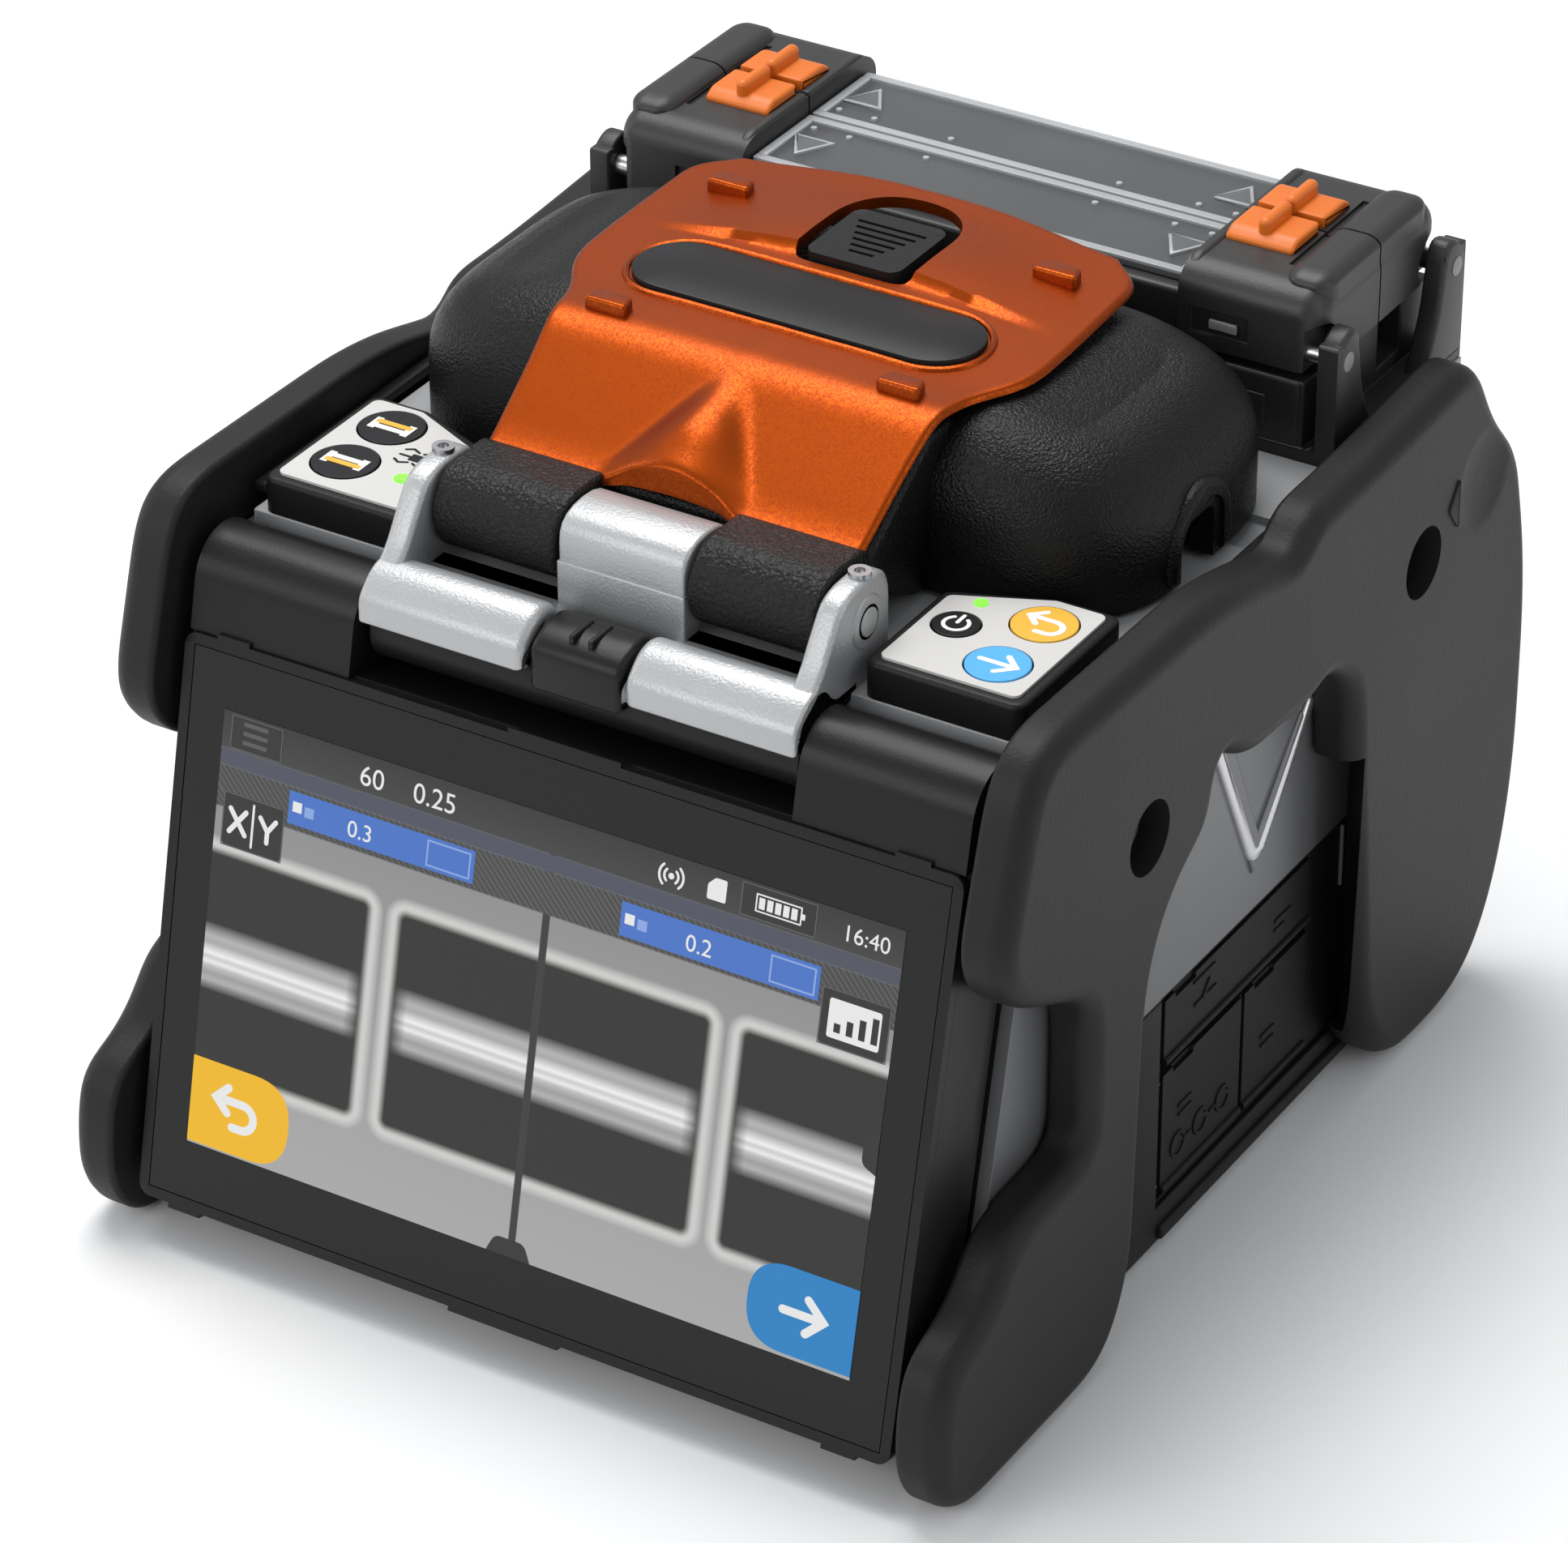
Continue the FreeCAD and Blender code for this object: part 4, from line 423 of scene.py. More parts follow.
def smoked_window(name, colour, alpha):
    """Smoked polycarbonate: partly clear, with a grey body and faint moulding haze."""
    material, tree, shader = new_material(name, Transmission_Weight=0.0)
    haze = use_group(tree, tone_group, Colour=(*colour, 1), Amount=0.3)
    grain = use_group(tree, grain_group, Scale=700, Depth=0.03, Roughness=0.16)
    tree.links.new(haze.outputs["Colour"], shader.inputs["Base Color"])
    tree.links.new(grain.outputs["Roughness"], shader.inputs["Roughness"])
    tree.links.new(grain.outputs["Normal"], shader.inputs["Normal"])
    shader.inputs["Alpha"].default_value = alpha
    return material


window_smoke = smoked_window("window smoke", (0.16, 0.163, 0.167), 0.5)


def dress(material, *nodes):
    for name in nodes:
        for place in frame["nodes"][name].material_slots:
            place.material = material


dress(body_black, "base_tray", "front_bulkhead", "rear_panel", "side_sockets", "battery_pack",
      "fan_rotor", "monitor_hinge_barrel", "centre_latch", "button_box_left", "button_box_right",
      "sheath_lid_left", "sheath_lid_right")
dress(heater_black, "heater_trough", "heater_frame_front", "heater_frame_rear")
dress(port_black, "port_panel")
dress(flap_rubber, "port_flap_data", "port_flap_output", "port_flap_input")
dress(side_grey, "side_panel_left", "side_panel_right")
dress(deck_grey, "top_deck")
dress(bumper_rubber, "left_bumper", "right_bumper")
dress(bracket_silver, "hinge_bracket")
dress(screw_steel, "bumper_screws", "bracket_set_screws", "cover_hinge_shaft", "monitor_hinge_pin",
      "electrodes", "heater_hinge_pins")
dress(monitor_black, "monitor_shell", "monitor_bezel")
dress(glass_black, "touch_glass", "display_module")
dress(label_white, "button_label_left", "button_label_right")
dress(print_black, "power_button", "heater_button_front", "heater_button_rear")
dress(print_yellow, "reset_button")
dress(print_blue, "set_button")
dress(lamp_green, "status_lamps")
dress(cover_black, "cover_shell")
dress(cover_orange, "cover_plate")
dress(badge_grey, "cover_badge", "cover_latch")
dress(stage_metal, "stage_base", "lens_barrels", "feed_motors", "sheath_clamp_bases")
dress(ceramic_white, "v_grooves", "electrode_holders")
dress(board_green, "camera_modules", "main_board")
dress(heater_metal, "heater_plates")
dress(window_smoke, "heater_window_front", "heater_window_rear")
dress(lever_orange, "heater_levers_front", "heater_levers_rear")


# %% [markdown]
# The exported pieces have razor edges where a tool would leave a small radius.  A weld joins
# their faces, a narrow bevel rolls the sharp edges, and weighted normals keep the flats flat.

# %% Soft edges on the carried-over pieces
def soften(width, *nodes, angle=32):
    for name in nodes:
        piece = frame["nodes"][name]
        weld = piece.modifiers.new("join faces", "WELD")
        weld.merge_threshold = 1e-6
        bevel = piece.modifiers.new("soft edges", "BEVEL")
        bevel.width = width * MM
        bevel.segments = 2
        bevel.limit_method = "ANGLE"
        bevel.angle_limit = math.radians(angle)
        bevel.harden_normals = False
        normals = piece.modifiers.new("even normals", "WEIGHTED_NORMAL")
        normals.keep_sharp = False


soften(0.5, "heater_trough", "monitor_shell", "rear_panel", "battery_pack", "base_tray")
soften(0.25, "cover_latch", "button_box_left",
       "button_box_right", "port_panel", "port_flap_data", "port_flap_output", "port_flap_input",
       "monitor_bezel", "top_deck", "side_panel_left", "side_panel_right")


# %% [markdown]
# The sculpted pieces need three more tools.  Evenly spaced outlines let a rim be rolled without
# pinching; a finished mesh can be cut by another one; and a thin printed or raised shape is a
# stroke with round ends, laid on a surface by a function that knows where that surface is.

# %% Tools: even outlines, cuts and strokes
def evenly(outline, step, settle=0):
    """The closed outline with points every step; settle rounds it off a little more each time."""
    lengths = [(b - a).length for a, b in zip(outline, outline[1:] + outline[:1])]
    count = max(8, round(sum(lengths) / step))
    stride, walked, at, made = sum(lengths) / count, 0.0, 0, []
    for index in range(count):
        want = index * stride
        while at < len(lengths) - 1 and walked + lengths[at] < want:
            walked += lengths[at]
            at += 1
        share = (want - walked) / max(lengths[at], 1e-9)
        made.append(outline[at].lerp(outline[(at + 1) % len(outline)], min(share, 1)))
    for _ in range(settle):
        made = [made[i - 1] * 0.25 + made[i] * 0.5 + made[(i + 1) % count] * 0.25
                for i in range(count)]
    return made


def circle(centre, radius, count=32):
    return [Vector((centre[0] + radius * math.cos(2 * math.pi * i / count),
                    centre[1] + radius * math.sin(2 * math.pi * i / count))) for i in range(count)]


def stadium(half, radius, middle=(0, 0), count=12):
    """A long outline with two half-round ends."""
    outline = []
    for end in (1, -1):
        for i in range(count + 1):
            turn = math.radians(-90 + 180 * i / count)
            outline.append(Vector((middle[0] + end * (half - radius + radius * math.cos(turn)),
                                   middle[1] + end * radius * math.sin(turn))))
    return outline


def rectangle(a0, a1, b0, b1, radius=0.0, steps=4):
    corners = [(a0, b0), (a1, b0), (a1, b1), (a0, b1)]
    return rounded_outline(corners, radius, steps) if radius > 0 else [Vector(c) for c in corners]


def stroke(points, width, caps=6):
    """The outline of a line of some width with round ends and mitred bends."""
    points = [Vector(p) for p in points]
    half = width / 2
    left, right_side = [], []
    for index, here in enumerate(points):
        before = points[max(index - 1, 0)]
        after = points[min(index + 1, len(points) - 1)]
        into = (here - before).normalized() if index else (after - here).normalized()
        out = (after - here).normalized() if index < len(points) - 1 else into
        way = (into + out).normalized()
        side = Vector((-way.y, way.x))
        reach = half / max(side.dot(Vector((-into.y, into.x))), 0.5)
        left.append(here + side * reach)
        right_side.append(here - side * reach)
    first = (points[1] - points[0]).normalized()
    last = (points[-1] - points[-2]).normalized()

    def cap(centre, way):
        turn = math.atan2(way.y, way.x)
        return [centre + Vector((math.cos(turn + math.pi / 2 - math.pi * i / caps),
                                 math.sin(turn + math.pi / 2 - math.pi * i / caps))) * half
                for i in range(1, caps)]

    return left + cap(points[-1], last) + right_side[::-1] + cap(points[0], -first)


def arc(centre, radius, start, end, count=12):
    """Points on an arc, in degrees, anticlockwise from +X."""
    return [(centre[0] + radius * math.cos(math.radians(start + (end - start) * i / count)),
             centre[1] + radius * math.sin(math.radians(start + (end - start) * i / count)))
            for i in range(count + 1)]


def laid(outlines, low, high, place, roll=0.0):
    """Thin prisms over outlines, put on a surface by place(a, b, height).  Each top lies a hair
    above the one before, so crossing lines stay clean."""
    shapes = [prism(outline if outline_turn(outline) > 0 else outline[::-1], "z", low,
                    high + 0.002 * index, 0, roll, 2)
              for index, outline in enumerate(outlines)]
    points, faces = joined(*shapes)
    return [place(*p) for p in points], faces


def cut_away(piece, *cutters, keep="DIFFERENCE"):
    """Cuts closed shapes, each points and faces, out of a finished piece."""
    for shape in cutters:
        tool = bpy.data.objects.new("cutter", bpy.data.meshes.new("cutter"))
        tool.data.from_pydata([Vector(p) * MM for p in shape[0]], [], shape[1])
        bm = bmesh.new()
        bm.from_mesh(tool.data)
        bmesh.ops.recalc_face_normals(bm, faces=bm.faces)
        bm.to_mesh(tool.data)
        bm.free()
        bpy.context.collection.objects.link(tool)
        cutting = piece.modifiers.new("cut", "BOOLEAN")
        cutting.operation, cutting.object, cutting.solver = keep, tool, "EXACT"
        bake(piece)
        bpy.data.objects.remove(tool)
    return piece


def bake(piece):
    """Makes the piece's modifiers part of its mesh."""
    seen = piece.evaluated_get(bpy.context.evaluated_depsgraph_get())
    mesh = bpy.data.meshes.new_from_object(seen)
    piece.modifiers.clear()
    piece.data = mesh
    return piece


def crisp(piece, sharp=35):
    """Smooth faces, with edges bent more than sharp degrees kept crisp and flats kept flat."""
    bm = bmesh.new()
    bm.from_mesh(piece.data)
    bmesh.ops.remove_doubles(bm, verts=bm.verts, dist=1e-6)
    for face in bm.faces:
        face.smooth = True
    for edge in bm.edges:
        edge.smooth = not (len(edge.link_faces) == 2
                           and edge.calc_face_angle(0) > math.radians(sharp))
    bm.to_mesh(piece.data)
    bm.free()
    normals = piece.modifiers.new("even normals", "WEIGHTED_NORMAL")
    normals.keep_sharp = True
    return piece


def smoothstep(low, high, value):
    t = min(max((value - low) / (high - low), 0.0), 1.0)
    return t * t * (3 - 2 * t)


# %% [markdown]
# Two thick rubber bumpers wrap the ends of the machine and stand as its feet.  They were cast
# with no straight line anywhere, so their outline is a chain of soft bends and their outer rim
# is rolled.  An outline with rounded corners, grown into a thick plate with rolled rims, gives
# that shape; the screw wells and the finger pad are then cut out of it.

# %% Bumpers
BUMPER_OUTLINE = [
    (-58, 110.7, 6), (-63.8, 106.5, 6), (-71.4, 82.1, 6), (-67.5, 75.5, 4), (-62, 71.5, 5),
    (-46, 64, 5), (-46, 39.5, 4), (-66.5, 38.5, 6), (-73.5, 29.4, 6), (-84.0, 26.6, 6),
    (-86.4, 18.0, 5), (-86.4, 8.0, 8), (-80.0, 0, 6), (-40.0, 0, 8), (-32.0, 12, 8),
    (-29.8, 58.4, 8), (-24.1, 68.9, 6), (-13.6, 74.8, 3), (-11.0, 85.2, 3), (-3.0, 79.0, 4),
    (16.5, 78.2, 4), (21.0, 80.6, 4), (28.7, 75.2, 5), (36.0, 12.7, 8), (46.0, 0, 8),
    (70.0, 0, 10), (80.8, 11.0, 10), (86.4, 30.5, 12), (86.4, 66.0, 14), (80.6, 89.0, 5),
    (72.3, 97.5, 5), (64.6, 111.0, 6), (31.0, 109.0, 12), (14.5, 109.0, 4), (10.6, 104.4, 4),
    (-11.0, 110.0, 10)]
BUMPER_HOLES = [(-32.1, 82.8), (48.6, 85.2)]
WELL_RADIUS, WELL_DEEP, SHANK_ROOM = 5.5, 5.5, 1.8
PAD_CENTRE, PAD_RADIUS, PAD_DEEP = (67.3, 90.0), 8.5, 0.9
BUMPER_IN, MARK_TOP = box_mm("right_bumper")[0].x, box_mm("right_bumper")[1].x
BUMPER_OUT = MARK_TOP - 0.35
BUMPER_PLATE_IN = 64.3
OUTER_ROLL, INNER_ROLL = 3.4, 1.0


def lens(centre, radius, deep, outer):
    """A closed shallow dish, whose cut leaves a thumb-sized hollow in a plate."""
    rings, count = 7, 40
    points, faces = [(outer + 1, centre[0], centre[1])], []
    for ring in range(1, rings + 1):
        share = ring / rings
        x = outer - deep * (1 - share ** 2) + 0.001
        points += [(x, centre[0] + radius * share * math.cos(2 * math.pi * i / count),
                    centre[1] + radius * share * math.sin(2 * math.pi * i / count))
                   for i in range(count)]
    base = 1 + (rings - 1) * count
    for i in range(count):
        faces.append((0, base + i, base + (i + 1) % count))
    for ring in range(rings - 1):
        for i in range(count):
            a, b = 1 + ring * count + i, 1 + ring * count + (i + 1) % count
            faces.append((a, b, b + count, a + count))
    faces.append(tuple(range(1, count + 1)))
    return points, faces


def bumper_shapes():
    outline = evenly(rounded_outline(BUMPER_OUTLINE, 8, 6), 1.4, settle=3)
    plate = prism(outline, "x", BUMPER_PLATE_IN, BUMPER_OUT, INNER_ROLL, OUTER_ROLL, 6)
    wells = []
    for centre in BUMPER_HOLES:
        wells.append(prism(circle(centre, WELL_RADIUS), "x", BUMPER_OUT - WELL_DEEP, BUMPER_OUT + 2))
        wells.append(prism(circle(centre, SHANK_ROOM), "x", BUMPER_IN - 2, BUMPER_OUT))
    wells.append(lens(PAD_CENTRE, PAD_RADIUS, PAD_DEEP, BUMPER_OUT))
    leg = [(BUMPER_PLATE_IN - 1, 24), (BUMPER_OUT + 1, 24), (BUMPER_OUT + 1, 31.3),
           (BUMPER_PLATE_IN - 1, 44.3)]
    wells.append(prism([Vector(p) for p in leg], "z", 9, 61))
    lip = block((BUMPER_IN, -44, 102.2), (BUMPER_PLATE_IN + 2, 60, 103.8), 0.5, 2)
    tip = [(PAD_CENTRE[0] - 9.2 - 2.4, PAD_CENTRE[1]), (PAD_CENTRE[0] - 8.4, PAD_CENTRE[1] + 4.2),
           (PAD_CENTRE[0] - 8.4, PAD_CENTRE[1] - 4.2)]
    marks = [prism(rounded_outline(tip, 0.8, 3), "x", BUMPER_OUT - 3, MARK_TOP, 0, 0.3, 2)]
    return plate, wells, [lip] + marks


def make_bumper(side, turned):
    plate, wells, extras = bumper_shapes()
    if turned:
        plate, wells, extras = mirrored(plate), [mirrored(w) for w in wells], [mirrored(e) for e in extras]
    piece = make(f"bumper_{side}", *plate, "chassis", bumper_rubber)
    cut_away(piece, *wells)
    crisp(piece)
    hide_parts(f"{side}_bumper")
    trim = make(f"bumper_trim_{side}", *joined(*extras), "chassis", bumper_rubber)
    print(piece.name, len(piece.data.vertices), "points")


make_bumper("right", False)
make_bumper("left", True)


# %% [markdown]
# The wind cover keeps draughts off the arc.  Its black shell bulges to the left and right of
# the painted plate like two cheeks.  It is one open-bottomed dome, so it is drawn as rings that
# climb from the foot, roll over the shoulder and close along a line on top, and a solidify
# modifier gives it a wall.  The notches at its ends, where the fibre goes in, are cut after it.

# %% Wind cover: dome, hump and arms
HINGE = axis_mm("cover_hinge")
ARM_RADIUS = 6.5
ARM_IN, ARM_OUT = 10.4, 30.5
HUMP_HALF = 36.0
CREST = 127.3


def crest(x):
    """The dome's top falls away outside the plate."""
    outside = max(abs(x) - HUMP_HALF + 4, 0)
    return CREST - 0.0135 * outside ** 2


def canopy(outline, foot, top, roll, spine, steps=8, rows=14):
    """An open-bottomed hood: a wall up from foot, a rolled shoulder, and a top that closes."""
    turn_in = inset(outline, roll)
    points, faces = [], []
    rings = [("foot", 0.0), ("foot", 0.5)] + [("roll", i / steps) for i in range(steps + 1)]
    rings += [("top", i / rows) for i in range(1, rows + 1)]
    for kind, share in rings:
        for outer, inner in zip(outline, turn_in):
            angle = math.pi / 2 * share
            if kind == "foot":
                at, height = outer, foot(outer) * (1 - share) + (top(inner) - roll) * share
            elif kind == "roll":
                at = outer.lerp(inner, 1 - math.cos(angle))
                height = top(inner) - roll * (1 - math.sin(angle))
            else:
                at = inner.lerp(spine(inner), share)
                height = top(at)
            points.append((at.x, at.y, height))
    count = len(outline)
    for ring in range(len(rings) - 1):
        for i in range(count):
            a, b = ring * count + i, ring * count + (i + 1) % count
            faces.append((a, b, b + count, a + count))
    return points, faces


dome_corners = [(-59.2, -20.5), (59.2, -20.5), (59.2, 34), (-59.2, 34)]
dome_outline = evenly(rounded_outline(dome_corners, 21, 10), 1.6)
dome = canopy(dome_outline, lambda p: 103.0, lambda p: crest(p.x), 13.0,
              lambda p: Vector((p.x * 0.97, 6.75)))


def hump_top(p):
    """The hump under the plate falls to the arms in front."""
    return min(114.4 + (p.y + 37.3) * 0.665, CREST - 1.2)


hump_corners = [(-30.3, -36.4), (30.3, -36.4), (30.3, -8), (-30.3, -8)]
hump_outline = evenly(rounded_outline(hump_corners, 2.5, 5), 1.2)
hump = canopy(hump_outline, lambda p: 109.6 - 6.0 * smoothstep(-36, -22, p.y), hump_top, 1.5,
              lambda p: Vector((p.x * 0.97, -22)), 4, 10)

cover_shell = make("wind_cover_shell", *dome, "wind_cover", cover_black, sharp=80)
wall = cover_shell.modifiers.new("wall", "SOLIDIFY")
wall.thickness, wall.offset = 2.0 * MM, -1
bake(cover_shell)
NOTCH_HALF, NOTCH_TOP = 4.5, 111.5
splice_y = 3.0
for side in (1, -1):
    notch = rounded_outline([(splice_y - NOTCH_HALF, 101), (splice_y + NOTCH_HALF, 101),
                             (splice_y + NOTCH_HALF, NOTCH_TOP), (splice_y - NOTCH_HALF, NOTCH_TOP)], 2.2, 5)
    low, high = sorted((side * 50, side * 62))
    cut_away(cover_shell, prism(notch, "x", low, high))
crisp(cover_shell, 50)
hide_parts("cover_shell")

cover_hump = make("wind_cover_hump", *hump, "wind_cover", cover_black, sharp=80)
wall = cover_hump.modifiers.new("wall", "SOLIDIFY")
wall.thickness, wall.offset = 1.8 * MM, -1

arm_profile = [Vector(p) for p in arc((HINGE.y, HINGE.z), ARM_RADIUS, 88, 268, 20)]
arm_profile += [Vector(p) for p in ((-36.2, 108.2), (-35.6, 109.5), (-35.6, 116.2), (-37.5, 117.4))]
arms = []
for low, high in ((ARM_IN, ARM_OUT), (-ARM_OUT, -ARM_IN)):
    arms.append(prism(evenly(arm_profile, 0.9), "x", low, high, 0.9, 0.9, 3))
cover_arms = make("wind_cover_arms", *joined(*arms), "wind_cover", arm_black, sharp=45)
shaft_room = prism(circle((HINGE.y, HINGE.z), 2.55), "x", -40, 40)
cut_away(cover_arms, shaft_room)
crisp(cover_arms, 45)
print("dome points:", len(cover_shell.data.vertices))

# %% [markdown]
# A raised frame stands round each fibre notch, with an opening through it and a recess cut into its outer
# face.

# %% Fibre gates
for side, label in ((1, "right"), (-1, "left")):
    frame_arch = rounded_outline([(-5.5, 103.1), (12.5, 103.1), (11.5, 112.5), (6.5, 116.4), (0.5, 116.0),
                                  (-4.5, 111.5)], 3.0, 5)
    gate = prism(frame_arch, "x", 55.5, 59.9, 0, 1.1, 3)
    opening = prism(rounded_outline([(-1.4, 101), (7.4, 101), (7.4, 111.3), (-1.4, 111.3)], 2.2, 5),
                    "x", 50, 62)
    recess = prism(rounded_outline([(-3.2, 101), (9.6, 101), (9.2, 111.6), (5.6, 113.9), (0.4, 113.4),
                                    (-3.0, 110.2)], 2.0, 4), "x", 58.7, 62)
    if side < 0:
        gate, opening, recess = mirrored(gate), mirrored(opening), mirrored(recess)
    piece = make(f"fibre_gate_{label}", *gate, "wind_cover", cover_black)
    cut_away(piece, opening, recess)
    crisp(piece, 40)


# %% [markdown]
# The painted plate is pressed from sheet.  Seen from above it narrows to the front; seen from
# the side it climbs from the arms, bends and runs level to the back.  A grid in which each row
# is as wide as the plate at that depth follows the outline exactly, and one height function
# adds what the press tool added: the front lip, the nose over the hinge block, the two
# creases and the rolled rim.

# %% Painted plate
PLATE_FRONT, PLATE_REAR = -38.0, 35.0
HALF_WIDTHS = [(-38.0, 29.8), (-34.0, 29.9), (-26.0, 30.2), (-20.5, 30.7), (-15.5, 31.3), (-11.5, 32.4),
               (-8.0, 34.6), (-5.0, 36.2), (-1.0, 37.0), (8.0, 37.0), (26.0, 36.5), (28.0, 35.0),
               (32.0, 29.6), (35.0, 29.0)]
WINDOW_OUTLINE = [(-9.5, 9.0), (9.5, 9.0), (9.5, 24), (7.4, 28.6), (3.4, 31.2), (-3.4, 31.2),
                  (-7.4, 28.6), (-9.5, 24)]
RIM_ROLL = 1.0
EDGE_STOPS = (0.0, 0.12, 0.32, 0.6, 1.0, 1.6)


def between(table, value):
    """Straight-line reading of a table of pairs."""
    for (a, va), (b, vb) in zip(table, table[1:]):
        if value <= b:
            return va + (vb - va) * (value - a) / (b - a)
    return table[-1][1]


def half_width(y):
    """The plate's half width, with the table's corners eased."""
    return sum(between(HALF_WIDTHS, min(max(y + d, PLATE_FRONT), PLATE_REAR)) * w
               for d, w in ((-2.0, 0.2), (-1.0, 0.2), (0, 0.2), (1.0, 0.2), (2.0, 0.2)))


def front_edge(x):
    return PLATE_FRONT + 0.9 * (1 - smoothstep(6.5, 11.5, abs(x)))


def rear_edge(x):
    return PLATE_REAR - 3.6 * smoothstep(4, 34, abs(x)) - 4.4 * smoothstep(28.5, 36.5, abs(x))


SIDE_PROFILE = [(-38.0, 116.3), (-35.2, 117.9), (-20.2, 128.3), (-18.0, 129.2), (35.0, 131.0)]


NOSE_START, NOSE_LENGTH, NOSE_TALL, NOSE_FILL = -20.0, 15.0, 4.0, 0.8


def nose_height(x, y):
    """How far the narrow nose above the bracket's block stands out of the slope."""
    down = min(max((NOSE_START - y) / NOSE_LENGTH, 0.0), 1.0)
    wide = 2.2 + 9.4 * down ** 1.15
    rounding = math.cos(math.pi / 2 * min(abs(x) / wide, 1.0)) ** 1.3
    return NOSE_TALL * smoothstep(-0.05, 0.85, down) * rounding


def plate_height(x, y):
    """The top of the plate."""
    base = sum(between(SIDE_PROFILE, min(max(y + d, PLATE_FRONT), PLATE_REAR)) for d in
               (-1.5, -0.75, 0, 0.75, 1.5)) / 5
    crease = 8.3 + 2.2 * (34 - min(abs(x), 34)) / 25.5
    step = 1.3 * smoothstep(crease - 0.1, crease + 0.8, y) * (1 - smoothstep(6, 34, abs(x)) ** 1.4)
    step *= 1 - 0.75 * smoothstep(crease + 3, 33, y)
    crown = -0.5 * smoothstep(12, 37, abs(x)) * smoothstep(-22, -8, y)
    return base + nose_height(x, y) + step + crown


def plate_grid():
    inner = 60
    points, faces = [], []
    rows = [("front", s) for s in EDGE_STOPS]
    rows += [("mid", i / 74) for i in range(1, 74)] + [("rear", s) for s in EDGE_STOPS[::-1]]
    across = [(-1, s) for s in EDGE_STOPS] + [(0, i / inner) for i in range(1, inner)]
    across += [(1, s) for s in EDGE_STOPS[::-1]]
    last = EDGE_STOPS[-1]
    for kind, along in rows:
        for end, share in across:
            guess = PLATE_FRONT if kind == "front" else PLATE_REAR if kind == "rear" else (
                PLATE_FRONT + (PLATE_REAR - PLATE_FRONT) * along)
            wide = half_width(guess)
            x = end * (wide - share) if end else (wide - last) * (2 * share - 1)
            low, high = front_edge(x), rear_edge(x)
            y = {"front": low + along, "rear": high - along,
                 "mid": low + last + (high - low - 2 * last) * along}[kind]
            wide = half_width(y)
            x = end * (wide - share) if end else (wide - last) * (2 * share - 1)
            near = min(share if end else last, along if kind != "mid" else last)
            drop = RIM_ROLL - math.sqrt(RIM_ROLL ** 2 - max(RIM_ROLL - near, 0) ** 2)
            points.append((x, y, plate_height(x, y) - drop))
    count = len(across)
    for row in range(len(rows) - 1):
        for i in range(count - 1):
            a = row * count + i
            faces.append((a, a + 1, a + 1 + count, a + count))
    return points, faces


plate = make("wind_cover_plate", *plate_grid(), "wind_cover", cover_orange, sharp=80)
wall = plate.modifiers.new("wall", "SOLIDIFY")
wall.thickness, wall.offset = 1.7 * MM, -1
bake(plate)
for point in plate.data.vertices:
    if point.normal.z < -0.2:
        point.co.z -= NOSE_FILL * nose_height(point.co.x / MM, point.co.y / MM) * MM
window = prism(evenly(rounded_outline(WINDOW_OUTLINE, 3, 5), 0.8), "z", 118, 140)
cut_away(plate, window)
crisp(plate, 40)
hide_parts("cover_plate")

bumps = []
for x, y, wide in ((23.3, -15.5, 3.5), (26.5, 21.6, 3.6)):
    for side in (1, -1):
        centre = x * side
        top = plate_height(centre, y) + 1.7
        outline = rounded_outline([(centre - wide, y - 1.5), (centre + wide, y - 1.5),
                                   (centre + wide * 0.8, y + 1.7), (centre - wide * 0.8, y + 1.7)], 0.8, 3)
        bumps.append(prism(outline, "z", top - 2.4, top, 0, 0.55, 3))
bump_piece = make("wind_cover_bumps", *joined(*bumps), "wind_cover", cover_orange)


def rim_tube(outline, height, radius, count=8):
    """A thin bead laid along a closed outline."""
    points, faces = [], []
    size = len(outline)
    for index, here in enumerate(outline):
        along = (outline[(index + 1) % size] - outline[index - 1]).normalized()
        side = Vector((-along.y, along.x))
        for i in range(count):
            turn = 2 * math.pi * i / count
            at = here + side * radius * math.cos(turn)
            points.append((at.x, at.y, height(here) + radius * math.sin(turn)))
    for index in range(size):
        for i in range(count):
            a, b = index * count + i, index * count + (i + 1) % count
            c, d = ((index + 1) % size) * count + i, ((index + 1) % size) * count + (i + 1) % count
            faces.append((a, b, d, c))
    return points, faces


badge_outline = evenly(stadium(27.5, 7.2, (0, -1.4), 16), 1.0)


def on_plate(p):
    return plate_height(p.x, p.y)


badge = make("cover_badge_plain", *prism(badge_outline, "z", 128.4, 130.35, 0, 0.25, 2), "wind_cover",
             badge_grey)
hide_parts("cover_badge")
rim = make("cover_badge_rim", *rim_tube(evenly(stadium(28.3, 8.0, (0, -1.4), 16), 1.0), on_plate, 0.55),
           "wind_cover", cover_orange)
print("plate points:", len(plate.data.vertices))


# %% [markdown]
# The monitor leans back on its hinge.  Its picture lies flat under the glass, so everything on
# it is placed with two numbers: u across the screen and v up from the picture's lower edge.
# One function turns those into a place in the frame; a node group turns a shading point back
# into u and v, so the grey picture with its bright fibre can be painted by arithmetic.

# %% Screen frame
TILT = math.radians(12.8)
SCREEN_HINGE = axis_mm("monitor_tilt")
SCREEN_FOOT, SCREEN_FACE = -82.3, -7.8
PICTURE_HALF, PICTURE_HIGH = 54.5, 65.4


def on_screen(u, v, h=0.0):
    """A place h proud of the glass."""
    along, up_screen = SCREEN_FACE - h, SCREEN_FOOT + v
    return (u, SCREEN_HINGE.y + along * math.cos(TILT) + up_screen * math.sin(TILT),
            SCREEN_HINGE.z - along * math.sin(TILT) + up_screen * math.cos(TILT))


